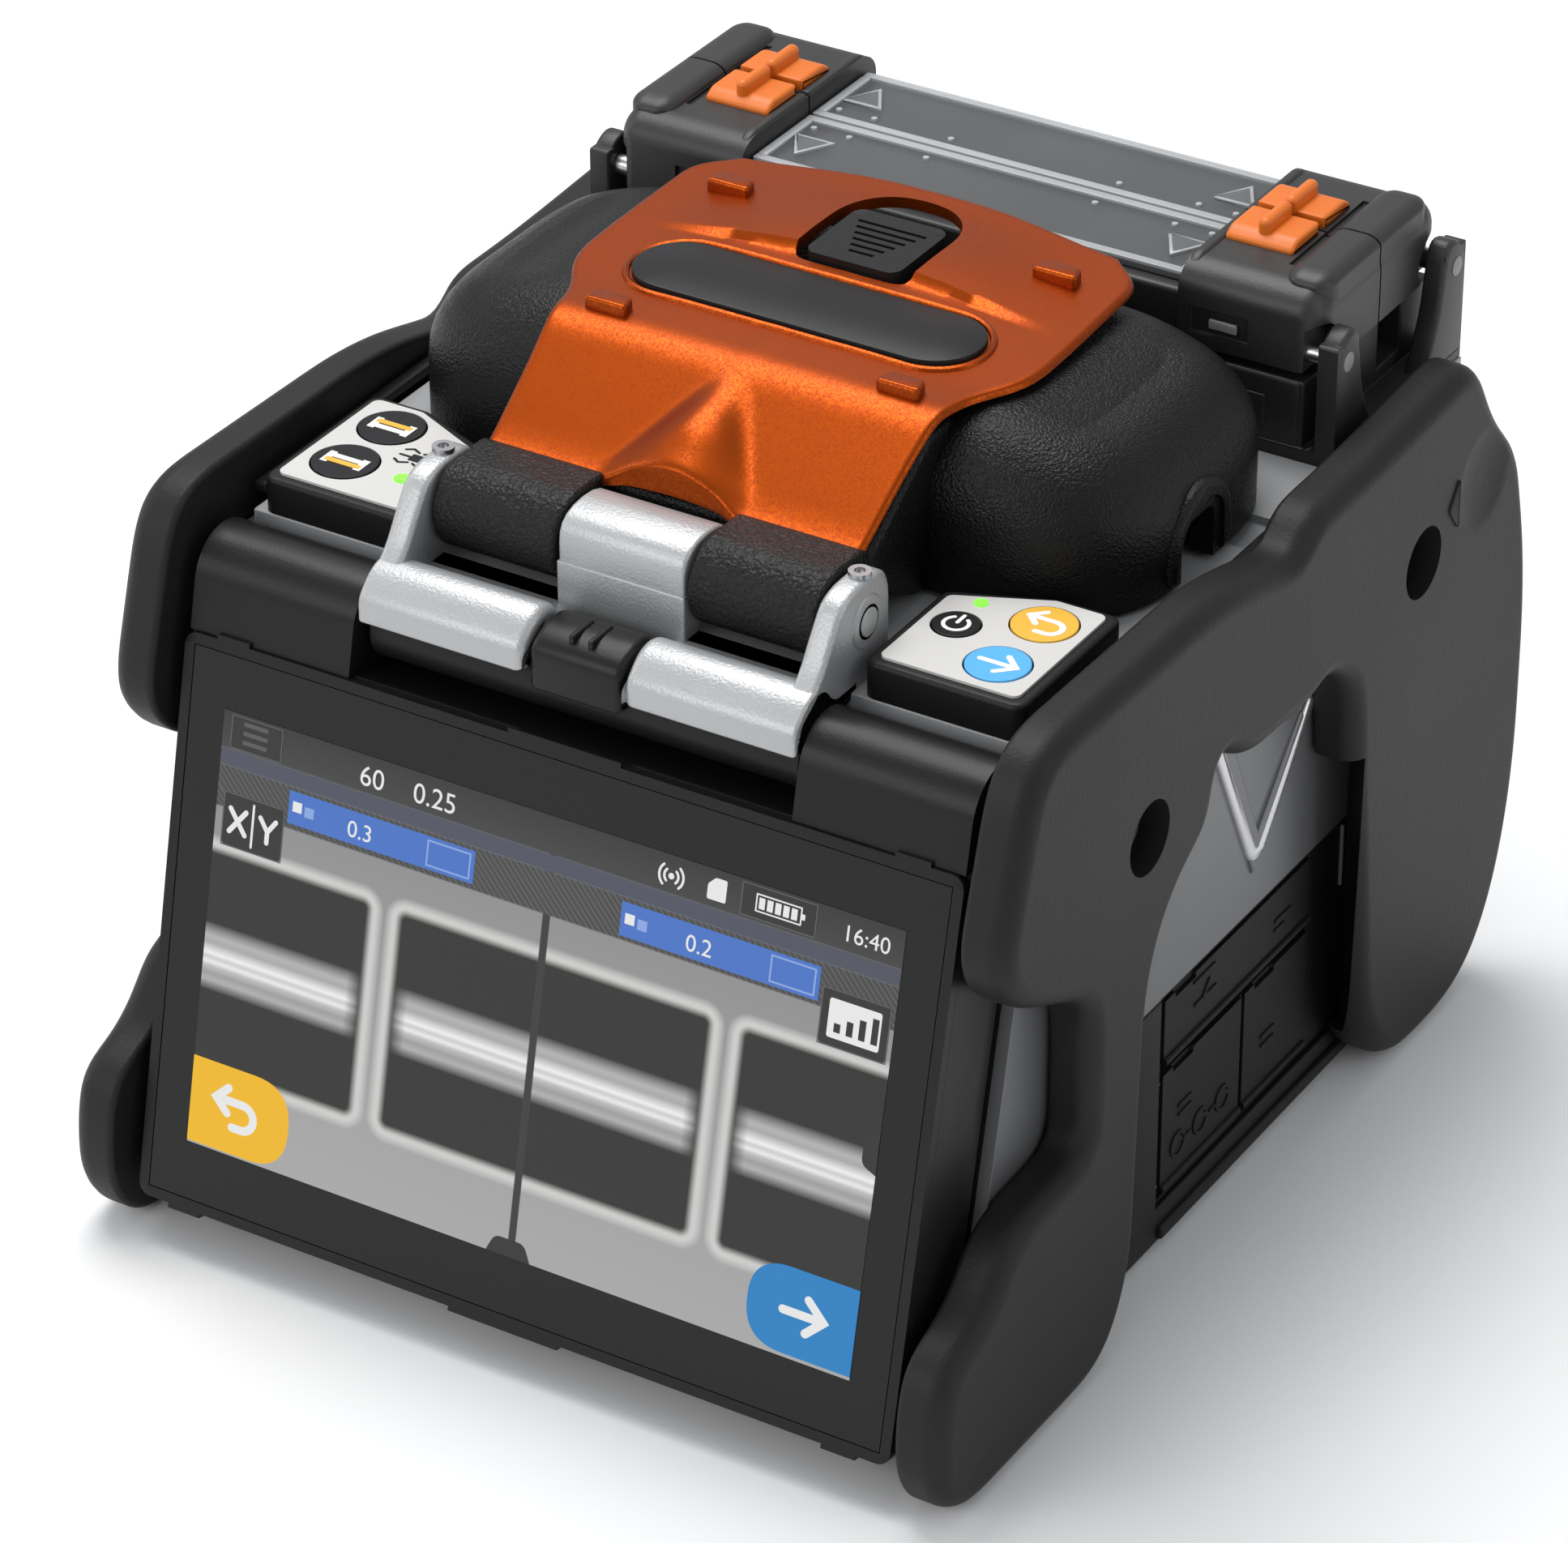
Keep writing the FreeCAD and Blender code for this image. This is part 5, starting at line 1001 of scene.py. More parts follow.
place_group, start, end = new_group("Screen place", [], [("U", FLOAT), ("V", FLOAT)])
spot = node(place_group, "ShaderNodeTexCoord").outputs["Object"]
parts = node(place_group, "ShaderNodeSeparateXYZ", {"Vector": spot})
across = node(place_group, "ShaderNodeMath", {0: parts.outputs["X"], 1: 1 / MM}, operation="MULTIPLY")
rise = node(place_group, "ShaderNodeVectorMath",
            {0: spot, 1: (0, math.sin(TILT) / MM, math.cos(TILT) / MM)}, operation="DOT_PRODUCT")
base = Vector(on_screen(0, 0)).dot(Vector((0, math.sin(TILT), math.cos(TILT))))
height = node(place_group, "ShaderNodeMath", {0: rise.outputs["Value"], 1: base}, operation="SUBTRACT")
place_group.links.new(across.outputs[0], end.inputs["U"])
place_group.links.new(height.outputs[0], end.inputs["V"])

# %% [markdown]
# A rounded box in the picture is the set of points whose distance from a smaller box is under
# the corner radius.  The group gives that distance, from which a soft edge or a pale border
# can be read with a map range.

# %% Rounded box group
boxes_group, start, end = new_group(
    "Rounded box", [("U", FLOAT, 0), ("V", FLOAT, 0), ("Middle U", FLOAT, 0), ("Middle V", FLOAT, 0),
                    ("Half U", FLOAT, 1), ("Half V", FLOAT, 1), ("Radius", FLOAT, 1)],
    [("Distance", FLOAT)])
sides, overs = [], []
for axis in "UV":
    off = node(boxes_group, "ShaderNodeMath",
               {0: start.outputs[axis], 1: start.outputs["Middle " + axis]}, operation="SUBTRACT")
    size = node(boxes_group, "ShaderNodeMath", {0: off.outputs[0]}, operation="ABSOLUTE")
    core = node(boxes_group, "ShaderNodeMath",
                {0: start.outputs["Half " + axis], 1: start.outputs["Radius"]}, operation="SUBTRACT")
    over = node(boxes_group, "ShaderNodeMath", {0: size.outputs[0], 1: core.outputs[0]},
                operation="SUBTRACT")
    overs.append(over.outputs[0])
    sides.append(node(boxes_group, "ShaderNodeMath", {0: over.outputs[0], 1: 0.0}, operation="MAXIMUM"))
both = node(boxes_group, "ShaderNodeCombineXYZ", {"X": sides[0].outputs[0], "Y": sides[1].outputs[0]})
far = node(boxes_group, "ShaderNodeVectorMath", {0: both.outputs[0]}, operation="LENGTH")
nearer = node(boxes_group, "ShaderNodeMath", {0: overs[0], 1: overs[1]}, operation="MAXIMUM")
depth = node(boxes_group, "ShaderNodeMath", {0: nearer.outputs[0], 1: 0.0}, operation="MINIMUM")
total = node(boxes_group, "ShaderNodeMath", {0: far.outputs["Value"], 1: depth.outputs[0]},
             operation="ADD")
gap = node(boxes_group, "ShaderNodeMath", {0: total.outputs[0], 1: start.outputs["Radius"]},
           operation="SUBTRACT")
boxes_group.links.new(gap.outputs[0], end.inputs["Distance"])

# %% [markdown]
# The picture is built from the back to the front: a grey field, three dark windows with pale
# borders, the fibre as a band of bright and dark lines, and the dark strips at the top.

# %% Picture material
picture, tree, shader = new_material("screen picture", Roughness=0.14, Emission_Strength=0.92,
                                     Specular_IOR_Level=0.3)
shader.inputs["Base Color"].default_value = (0.004, 0.004, 0.004, 1)
where = use_group(tree, place_group)


def ramp(value, stops, low=0.0, high=1.0):
    """Grey levels read along a value that runs from low to high."""
    spread = node(tree, "ShaderNodeMapRange", {"Value": value, "From Min": low, "From Max": high})
    made = node(tree, "ShaderNodeValToRGB", {"Fac": spread.outputs["Result"]})
    elements = made.color_ramp.elements
    while len(elements) < len(stops):
        elements.new(1.0)
    for element, (at, level) in zip(elements, stops):
        element.position = at
        element.color = (*level, 1) if isinstance(level, tuple) else (level, level, level, 1)
    return made.outputs["Color"]


def over(under, top, mask):
    mixed = node(tree, "ShaderNodeMix", data_type="RGBA")
    for socket, value in (("Factor", mask), ("A", under), ("B", top)):
        if isinstance(value, bpy.types.NodeSocket):
            tree.links.new(value, mixed.inputs[socket])
        else:
            mixed.inputs[socket].default_value = (*value, 1) if isinstance(value, tuple) else value
    return mixed.outputs["Result"]


def span(value, low, high, soft=0.12):
    """1 between low and high, with soft ends."""
    rise = node(tree, "ShaderNodeMapRange",
                {"Value": value, "From Min": low - soft, "From Max": low + soft})
    fall = node(tree, "ShaderNodeMapRange", {"Value": value, "From Min": high - soft,
                "From Max": high + soft, "To Min": 1.0, "To Max": 0.0})
    return node(tree, "ShaderNodeMath", {0: rise.outputs["Result"], 1: fall.outputs["Result"]},
                operation="MULTIPLY").outputs[0]


u, v = where.outputs["U"], where.outputs["V"]
colour = ramp(v, [(0, 0.40), (0.35, 0.36), (0.8, 0.30), (1, 0.26)], 0, 57)
fibre = ramp(v, [(0, 0.020), (0.08, 0.20), (0.16, 0.44), (0.26, 0.34), (0.36, 0.52), (0.42, 0.86),
                 (0.49, 0.62), (0.55, 0.90), (0.63, 0.62), (0.70, 0.40), (0.80, 0.46), (0.90, 0.24),
                 (1, 0.020)], 23.6, 33.8)
for low, high in ((-58.5, -27.6), (-23.4, 27.5), (31.7, 58.5)):
    window = use_group(tree, boxes_group)
    for label, value in (("Middle U", (low + high) / 2), ("Middle V", 28.5), ("Half U", (high - low) / 2),
                         ("Half V", 16.4), ("Radius", 1.6)):
        window.inputs[label].default_value = value
    tree.links.new(u, window.inputs["U"])
    tree.links.new(v, window.inputs["V"])
    distance = window.outputs["Distance"]
    border = ramp(distance, [(0, 0.0), (0.35, 1.0), (0.6, 1.0), (1, 0.0)], -1.1, 2.0)
    inside = node(tree, "ShaderNodeMapRange", {"Value": distance, "From Min": -0.9, "From Max": 0.3,
                  "To Min": 1.0, "To Max": 0.0}).outputs["Result"]
    core = node(tree, "ShaderNodeMapRange", {"Value": distance, "From Min": -3.0, "From Max": -0.6,
                "To Min": 1.0, "To Max": 0.0}).outputs["Result"]
    colour = over(colour, (0.62, 0.62, 0.61), border)
    colour = over(colour, (0.021, 0.022, 0.018), inside)
    colour = over(colour, fibre, core)
colour = over(colour, (0.035, 0.035, 0.033), span(u, -0.5, 0.7, 0.08))

slant = node(tree, "ShaderNodeMath", {0: u, 1: v}, operation="ADD").outputs[0]
lines = node(tree, "ShaderNodeMath", {0: slant, 1: 1.05}, operation="MODULO").outputs[0]
wrapped = node(tree, "ShaderNodeMath", {0: lines}, operation="ABSOLUTE").outputs[0]
hatch = ramp(wrapped, [(0, 0.095), (0.35, 0.095), (0.5, 0.055), (0.85, 0.055), (1, 0.095)], 0, 1.05)
colour = over(colour, hatch, span(v, 51.2, 57.4))
colour = over(colour, (0.075, 0.082, 0.115), span(v, 57.4, 59.9))
colour = over(colour, ramp(v, [(0, 0.050), (1, 0.030)], 60, 65.4), span(v, 59.9, 70))
tree.links.new(colour, shader.inputs["Emission Color"])

screen = make("screen_picture", [on_screen(a * PICTURE_HALF, b * PICTURE_HIGH, 0.03)
              for a, b in ((-1, 0), (1, 0), (1, 1), (-1, 1))], [(0, 1, 2, 3)], "monitor", picture)


# %% [markdown]
# Icons, tabs and figures are thin shapes a little proud of the picture, each in a plain lit
# colour.  They are strokes and rounded rectangles; the figures come from the built-in font.

# %% Screen icons and figures
def lit(name, colour, strength=0.9):
    material, tree, shader = new_material(name, Roughness=0.16, Emission_Strength=strength,
                                          Specular_IOR_Level=0.15)
    shader.inputs["Base Color"].default_value = (0.01, 0.01, 0.01, 1)
    tone = use_group(tree, tone_group, Colour=(*colour, 1), Amount=0.05)
    tree.links.new(tone.outputs["Colour"], shader.inputs["Emission Color"])
    return material


lit_white = lit("lit white", (0.86, 0.87, 0.86))
lit_blue = lit("lit blue", (0.075, 0.19, 0.60))
lit_pale_blue = lit("lit pale blue", (0.28, 0.42, 0.80))
lit_yellow = lit("lit yellow", (0.93, 0.52, 0.022))
lit_sky = lit("lit sky", (0.025, 0.235, 0.58))
lit_dark = lit("lit dark", (0.035, 0.035, 0.035))


def screen_piece(name, outlines, low, high, material):
    piece = make(name, *laid(outlines, low, high, on_screen), "monitor", material)
    return piece


def frame_of(u0, u1, v0, v1, width, radius=0.4):
    """A thin rectangular outline, as four strokes."""
    return [stroke([(u0, v0), (u1, v0)], width), stroke([(u1, v0), (u1, v1)], width),
            stroke([(u1, v1), (u0, v1)], width), stroke([(u0, v1), (u0, v0)], width)]


def figures(name, text, u0, v0, size, material, place, body, high=0.12):
    """Figures set from u0, v0, as tall as size."""
    curve = bpy.data.curves.new(name, "FONT")
    curve.body, curve.size = text, size * 1.38
    holder = bpy.data.objects.new(name + "_font", curve)
    bpy.context.collection.objects.link(holder)
    bpy.context.view_layer.update()
    flat = bpy.data.meshes.new_from_object(holder.evaluated_get(
        bpy.context.evaluated_depsgraph_get()))
    bpy.data.objects.remove(holder)
    points = [place(u0 + p.co.x, v0 + p.co.y, high) for p in flat.vertices]
    faces = [tuple(face.vertices) for face in flat.polygons]
    piece = make(name, points, faces, body, material)
    return piece


def back_arrow(middle, reach):
    """A return arrow: a shaft that bends back on itself, and a head."""
    a, b = middle
    bend = arc((a + reach * 0.35, b - reach * 0.18), reach * 0.48, 90, -90, 10)
    shaft = [(a - reach * 0.75, b + reach * 0.30)] + bend + [(a - reach * 0.05, b - reach * 0.66)]
    head = [(a - reach * 0.30, b + reach * 0.78), (a - reach * 0.80, b + reach * 0.30),
            (a - reach * 0.30, b - reach * 0.18)]
    return [shaft, head]


def forward_arrow(middle, reach):
    a, b = middle
    shaft = [(a - reach * 0.8, b), (a + reach * 0.75, b)]
    head = [(a + reach * 0.15, b + reach * 0.62), (a + reach * 0.8, b),
            (a + reach * 0.15, b - reach * 0.62)]
    return [shaft, head]


screen_piece("screen_back_tab", [rounded_outline([(-54.5, 0.3, 0.01), (-37.8, 0.3, 6.2), (-37.8, 13.3, 6.2),
             (-54.5, 13.3, 0.01)], 1, 10)], 0.03, 0.10, lit_yellow)
screen_piece("screen_next_tab", [rounded_outline([(54.5, 13.3, 0.01), (37.6, 13.3, 6.2), (37.6, 0.5, 6.2),
             (54.5, 0.5, 0.01)], 1, 10)], 0.03, 0.10, lit_sky)
screen_piece("screen_arrows", [stroke(line, 1.25) for line in back_arrow((-47.0, 7.0), 4.0)
             + forward_arrow((46.4, 6.9), 4.0)], 0.10, 0.16, lit_white)
screen_piece("screen_tags", [rectangle(-42.6, -12.0, 52.0, 56.8), rectangle(11.6, 42.7, 51.8, 56.7)],
             0.03, 0.10, lit_blue)
screen_piece("screen_tag_lines", frame_of(-19.6, -12.7, 52.6, 56.2, 0.25)
             + frame_of(35.2, 42.0, 52.4, 56.1, 0.25)
             + [rectangle(-39.9, -38.4, 53.6, 55.1), rectangle(14.3, 15.8, 53.4, 54.9)],
             0.10, 0.13, lit_pale_blue)
screen_piece("screen_tag_marks", [rectangle(-41.9, -40.4, 53.9, 55.4), rectangle(12.3, 13.8, 53.7, 55.2)],
             0.10, 0.14, lit_white)
dark_tabs = [
    ([(-53.2, 45.8), (-43.2, 45.8), (-43.2, 53.6), (-53.2, 53.6)], 0.8),
    ([(43.4, 46.2), (53.8, 46.2), (53.8, 54.2), (43.4, 54.2)], 0.8),
    ([(-3.9, 0, 0.01), (3.3, 0, 0.01), (2.1, 2.6, 1), (-2.7, 2.6, 1)], 0.8),
    ([(54.5, 30.2, 0.01), (54.5, 36.4, 0.01), (52.2, 35.4, 1), (52.2, 31.2, 1)], 0.8),
    ([(-53.0, 60.2), (-44.6, 60.2), (-44.6, 65.0), (-53.0, 65.0)], 0.5),
    ([(29.6, 60.4), (41.1, 60.4), (41.1, 65.0), (29.6, 65.0)], 0.5)]
screen_piece("screen_dark_tabs", [rounded_outline(corners, radius) for corners, radius in dark_tabs],
             0.03, 0.08, lit_dark)
lit_grey = lit("lit grey", (0.11, 0.11, 0.11))
screen_piece("screen_frames", frame_of(-53.2, -43.2, 45.8, 53.6, 0.2)
             + frame_of(43.4, 53.8, 46.2, 54.2, 0.2)
             + frame_of(-53.0, -44.6, 60.2, 65.0, 0.18) + frame_of(29.6, 41.1, 60.4, 65.0, 0.18),
             0.08, 0.10, lit_grey)
screen_piece("screen_split_mark", [stroke([(-48.2, 46.6), (-48.2, 52.8)], 0.35),
             stroke([(-52.0, 51.4), (-49.4, 48.0)], 0.75), stroke([(-49.4, 51.4), (-52.0, 48.0)], 0.75),
             stroke([(-47.0, 51.4), (-45.7, 49.6), (-44.4, 51.4)], 0.7),
             stroke([(-45.7, 49.6), (-45.7, 48.0)], 0.7)],
             0.10, 0.14, lit_white)
screen_piece("screen_view_mark", [rectangle(44.6, 52.6, 47.4, 53.0, 0.4)], 0.08, 0.11, lit_white)
screen_piece("screen_view_bars", [rectangle(45.6 + 1.9 * i, 46.6 + 1.9 * i, 48.3, 49.6 + 0.8 * i)
             for i in range(4)], 0.11, 0.13, lit_dark)
screen_piece("screen_menu_mark", [rectangle(-51.0, -47.0, 61.1 + 1.35 * i, 61.7 + 1.35 * i)
             for i in range(3)], 0.08, 0.12, lit_grey)
screen_piece("screen_card_mark", [rounded_outline([(24.3, 61.0, 0.3), (27.2, 61.0, 0.3), (27.2, 64.2, 0.3),
             (25.4, 64.2, 0.3), (24.3, 63.1, 0.3)], 0.3)], 0.03, 0.08, lit_white)
battery_bars = [rectangle(32.3 + 1.25 * i, 33.2 + 1.25 * i, 61.9, 63.5) for i in range(5)]
screen_piece("screen_battery_mark", battery_bars + frame_of(31.9, 38.8, 61.5, 63.9, 0.2)
             + [rectangle(38.9, 39.4, 62.3, 63.1)], 0.08, 0.12, lit_white)
waves = [circle((18.6, 62.4), 0.45, 16)]
for reach in (1.1, 1.9):
    for turn in (0, 180):
        waves.append(stroke(arc((18.6, 62.4), reach, turn - 48, turn + 48, 8), 0.34))
screen_piece("screen_signal_mark", waves, 0.03, 0.08, lit_white)
figures("screen_figures_sleeve", "60", -31.6, 61.0, 3.0, lit_white, on_screen, "monitor")
figures("screen_figures_size", "0.25", -22.8, 61.0, 3.0, lit_white, on_screen, "monitor")
figures("screen_figures_left", "0.3", -32.8, 53.0, 2.5, lit_white, on_screen, "monitor")
figures("screen_figures_right", "0.2", 21.9, 52.8, 2.5, lit_white, on_screen, "monitor")
figures("screen_figures_time", "16:40", 45.2, 61.4, 2.4, lit_white, on_screen, "monitor")


# %% [markdown]
# The keys are printed films with a soft dome under each.  Every symbol is a stroke laid on its
# key and rides with it, so it goes down when the key is pressed.

# %% Key symbols
KEY_TOP = box_mm("power_button")[1].z
LABEL_TOP = box_mm("button_label_right")[1].z


def on_keys(a, b, h=0.0):
    return (a, b, KEY_TOP + h)


def on_label(a, b, h=0.0):
    return (a, b, LABEL_TOP + h)


def key_piece(name, outlines, body, material, place=on_keys, high=0.06):
    piece = make(name, *laid(outlines, -0.05, high, place), body, material)
    return piece


power, reset, go = (42.6, -33.9), (52.7, -27.9), (52.5, -40.0)
key_piece("power_symbol", [stroke(arc(power, 1.75, 125, 415, 22), 0.55),
          stroke([(power[0], power[1] + 0.3), (power[0], power[1] + 2.3)], 0.55)],
          "power_button", print_white)
key_piece("reset_symbol", [stroke(line, 0.85) for line in back_arrow(reset, 3.5)],
          "reset_button", print_white)
key_piece("set_symbol", [stroke(line, 0.85) for line in forward_arrow(go, 3.4)],
          "set_button", print_white)


def sleeve_symbol(middle, amber_first):
    """A splice sleeve between two heater bars, in white and amber."""
    a, b = middle
    bars = [rectangle(a - 2.9, a + 2.9, b + 0.15, b + 1.15),
            rectangle(a - 2.9, a + 2.9, b - 1.15, b - 0.15)]
    white = bars[1 if amber_first else 0]
    amber = bars[0 if amber_first else 1]
    ends = [rectangle(a - 3.3, a - 2.2, b - 1.5, b + 1.5), rectangle(a + 2.2, a + 3.3, b - 1.5, b + 1.5)]
    return [white] + ends, [amber]


for name, middle, amber_first in (("heater_button_front", (-52.3, -39.0), False),
                                  ("heater_button_rear", (-52.2, -27.6), True)):
    white, amber = sleeve_symbol(middle, amber_first)
    key_piece(name + "_bars", white, name, print_white)
    key_piece(name + "_amber", amber, name, print_yellow, high=0.09)

glyph_a, glyph_b = -44.4, -33.2
marks = [rectangle(glyph_a - 0.9, glyph_a + 0.9, glyph_b - 0.9, glyph_b + 0.9, 0.2)]
for turn in (1, -1):
    marks.append(stroke([(glyph_a + turn * 1.0, glyph_b), (glyph_a + turn * 2.6, glyph_b)], 0.4))
    marks.append(stroke([(glyph_a + turn * 2.6, glyph_b + 1.5), (glyph_a + turn * 1.6, glyph_b + 2.1),
                         (glyph_a + turn * 0.4, glyph_b + 1.5)], 0.4))
    marks.append(stroke([(glyph_a + turn * 2.6, glyph_b - 1.5), (glyph_a + turn * 1.6, glyph_b - 2.1),
                         (glyph_a + turn * 0.4, glyph_b - 1.5)], 0.4))
key_piece("work_symbol", marks, "chassis", print_black, on_label)


# %% [markdown]
# The silver bracket is one casting: two chunky front lips with rounded tops, an ear at each
# end that sweeps up to the hinge shaft, and a round-topped block in the middle.  The black
# latch sits between the lips and has two short ribs for the finger.

# %% Hinge bracket and centre latch
BRACKET_HALF, EAR_IN, BLOCK_HALF, LIP_IN = 34.9, 30.9, 10.0, 7.9
LIP_SIDE = [
    (-62.2, 99.2, 0.4), (-62.2, 102.9, 1.4), (-58.4, 106.6, 3.6), (-54.2, 106.6, 2.4),
    (-51.9, 103.5, 1.4), (-46.0, 103.5, 0.5), (-46.0, 100.9, 0.3), (-60.9, 100.9, 0.4),
    (-60.9, 99.2, 0.3)]
EAR_SIDE = [
    (-62.0, 100.9, 0.8), (-61.4, 103.9, 1.6), (-56.0, 107.0, 3.5), (-52.4, 112.6, 3.5),
    (-49.0, 117.1, 4.0), (-39.2, 117.1, 3.0), (-37.6, 114.0, 2.0), (-37.6, 101.0, 0.6),
    (-50.0, 101.0, 0.6)]
SHAFT_AT = (-43.8, 111.0)


def side_prism(corners, low, high, roll_low=0.5, roll_high=0.5, steps=4):
    """A solid drawn in side view and stretched across the machine."""
    return prism(rounded_outline(corners, 0.5), "x", low, high, roll_low, roll_high, steps)


def cast_half():
    lip = side_prism(LIP_SIDE, LIP_IN, BRACKET_HALF - 0.2, 1.5, 0.6)
    ear = side_prism(EAR_SIDE, EAR_IN, BRACKET_HALF - 0.2, 0.9, 0.9)
    boss = prism(circle(SHAFT_AT, 3.9), "x", BRACKET_HALF - 1, BRACKET_HALF + 0.1, 0, 0.35)
    eye = prism(circle(SHAFT_AT, 2.1), "x", BRACKET_HALF - 1, BRACKET_HALF + 0.3, 0, 0.15)
    shelf = block((BLOCK_HALF - 3, -50.0, 101.0), (EAR_IN + 1, -37.6, 103.5), 0.5, 3)
    return joined(lip, ear, boss, eye, shelf)


upper_block = side_prism([(-49.9, 108.0, 0.4), (-49.9, 117.2, 6.0), (-37.7, 117.2, 6.0),
                          (-37.7, 108.0, 0.4)], -BLOCK_HALF, BLOCK_HALF, 0.6, 0.6)
lower_block = side_prism([(-50.15, 101.2, 0.3), (-50.15, 110.2, 0.3), (-37.6, 110.2, 0.3),
                          (-37.6, 101.2, 0.3)], -BLOCK_HALF - 0.15, BLOCK_HALF + 0.15, 0.35, 0.35)
bracket = make("hinge_bracket_cast", *joined(cast_half(), mirrored(cast_half()), upper_block,
                                             lower_block), "chassis", bracket_silver, sharp=50)
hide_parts("hinge_bracket")

latch = side_prism([(-61.8, 97.0, 0.6), (-61.8, 103.6, 1.8), (-58.2, 105.6, 1.8),
                    (-53.6, 105.6, 1.2), (-52.3, 103.8, 1.0), (-52.3, 97.0, 0.6)],
                   -7.3, 7.3, 1.1, 1.1)
ribs = [block((x - 0.45, -60.0, 104.2), (x + 0.45, -54.6, 105.95), 0.35, 2) for x in (-1.5, 1.5)]
finger_latch = make("centre_latch_block", *joined(latch, *ribs), "centre_latch", monitor_black,
                    sharp=50)
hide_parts("centre_latch")
print("bracket", len(bracket.data.vertices), "points, latch", len(finger_latch.data.vertices))


# %% [markdown]
# The tube heater has two lids that open away from each other.  Each lid is a frame with a
# heavy clamp at both ends: a rolled nose, a rolled outer end, a collar beside the window, a
# pocket with a pale tab in front and a raised shoulder outside the orange lever.

# %% Heater lids: clamps
SEAM = 58.4
LID_NOSE, LID_INNER, LID_OUTER, LID_HIGH = 39.1, 36.0, 58.0, 127.5
COLLAR_SIDE = [
    (39.4, 122.0, 1.0), (39.4, 124.4, 2.0), (42.4, 127.9, 2.0), (58.15, 127.9, 0.4),
    (58.15, 122.0, 0.4)]
CLAMP = block((30, LID_NOSE, 108), (LID_OUTER, 66, LID_HIGH), (3.4, 5.0, 4.0), 6)
SHOULDER = block((50.4, 42.2, 118), (LID_OUTER - 0.2, 66, 128.9), (2.6, 3.6, 1.6), 5)
CLAMP_LIMITS = (block((-70, 58.2, 100), (70, 75, 140), 0.1, 1),
                block((-70, 30, 100), (70, 75, 115.5), 0.1, 1),
                block((-LID_INNER, 30, 100), (LID_INNER, 75, 140), 0.1, 1))
TAB = ((41.0, 38.95, 118.7), (45.4, 39.6, 120.2))


def behind_seam(shape):
    """The same shape on the rear lid, which mirrors the front one across the seam."""
    points, faces = shape
    return [(p[0], 2 * SEAM - p[1], p[2]) for p in points], [face[::-1] for face in faces]


def make_lid_frame(end, turn):
    body_name = f"heater_lid_{end}"
    frame_piece = make(f"lid_clamps_{end}", *turn(joined(CLAMP, mirrored(CLAMP))), body_name,
                       heater_black)
    cut_away(frame_piece, turn(SHOULDER), turn(mirrored(SHOULDER)), keep="UNION")
    cut_away(frame_piece, *[turn(limit) for limit in CLAMP_LIMITS])
    pocket = block((37.8, LID_NOSE - 2, 117.4), (47.2, LID_NOSE + 0.8, 121.6), 0.3, 2)
    notch = block((49.2, 47.0, 126.9), (50.3, 62.0, 130.0), 0.2, 2)
    room = prism(circle((41.5, 118.0), 4.6), "x", LID_OUTER - 2.2, LID_OUTER + 2)
    for cutter in (pocket, notch, room):
        cut_away(frame_piece, turn(cutter), turn(mirrored(cutter)))
    crisp(frame_piece)
    collar = side_prism(COLLAR_SIDE, LID_INNER + 0.1, LID_INNER + 1.9, 0.5, 0.7)
    extras = [collar, mirrored(collar)]
    for rail_low, rail_high in ((LID_NOSE + 0.3, 42.4), (56.4, 58.15)):
        extras.append(block((-LID_INNER - 0.5, rail_low, 116.0), (LID_INNER + 0.5, rail_high, 123.3),
                            0.8, 3))
    trim = make(f"lid_trim_{end}", *turn(joined(*extras)), body_name, heater_black, sharp=50)
    tabs = make(f"lid_tabs_{end}", *turn(joined(block(*TAB, 0.25, 2), mirrored(block(*TAB, 0.25, 2)))),
                body_name, tab_grey)
    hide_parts(f"heater_frame_{end}")
    print(frame_piece.name, len(frame_piece.data.vertices), "points")


tab_grey = plastic("tab grey", (0.22, 0.22, 0.22), 0.42, 2600, 0.04)
make_lid_frame("front", lambda shape: shape)
make_lid_frame("rear", behind_seam)

# %% [markdown]
# The windows are smoked sheets with a paler moulded rim, small pegs along the seam and one
# plain triangle near each end.  Each lever is a pad with a sloped front and a round rib, and
# the two lids' levers meet at the seam.

# %% Heater lids: windows and levers
WINDOW_HALF, WINDOW_FRONT, WINDOW_REAR, WINDOW_LOW, WINDOW_HIGH = 35.7, 42.0, 58.1, 123.4, 124.5
window_rim = smoked_window("window rim", (0.50, 0.51, 0.52), 0.72)
LEVER_SIDE = [
    (49.5, 127.3, 0.3), (49.5, 128.1, 0.5), (51.2, 129.2, 0.8), (57.7, 129.2, 0.3),
    (57.7, 127.3, 0.3)]


def ring_of(outer, width):
    """Four straight strips that run round a rectangle a0, a1, b0, b1."""
    a0, a1, b0, b1 = outer
    return [rectangle(a0, a1, b0, b0 + width, 0.3), rectangle(a0, a1, b1 - width, b1, 0.3),
            rectangle(a0, a0 + width, b0 + width, b1 - width, 0.3),
            rectangle(a1 - width, a1, b0 + width, b1 - width, 0.3)]


def straight_up(a, b, height):
    return a, b, height


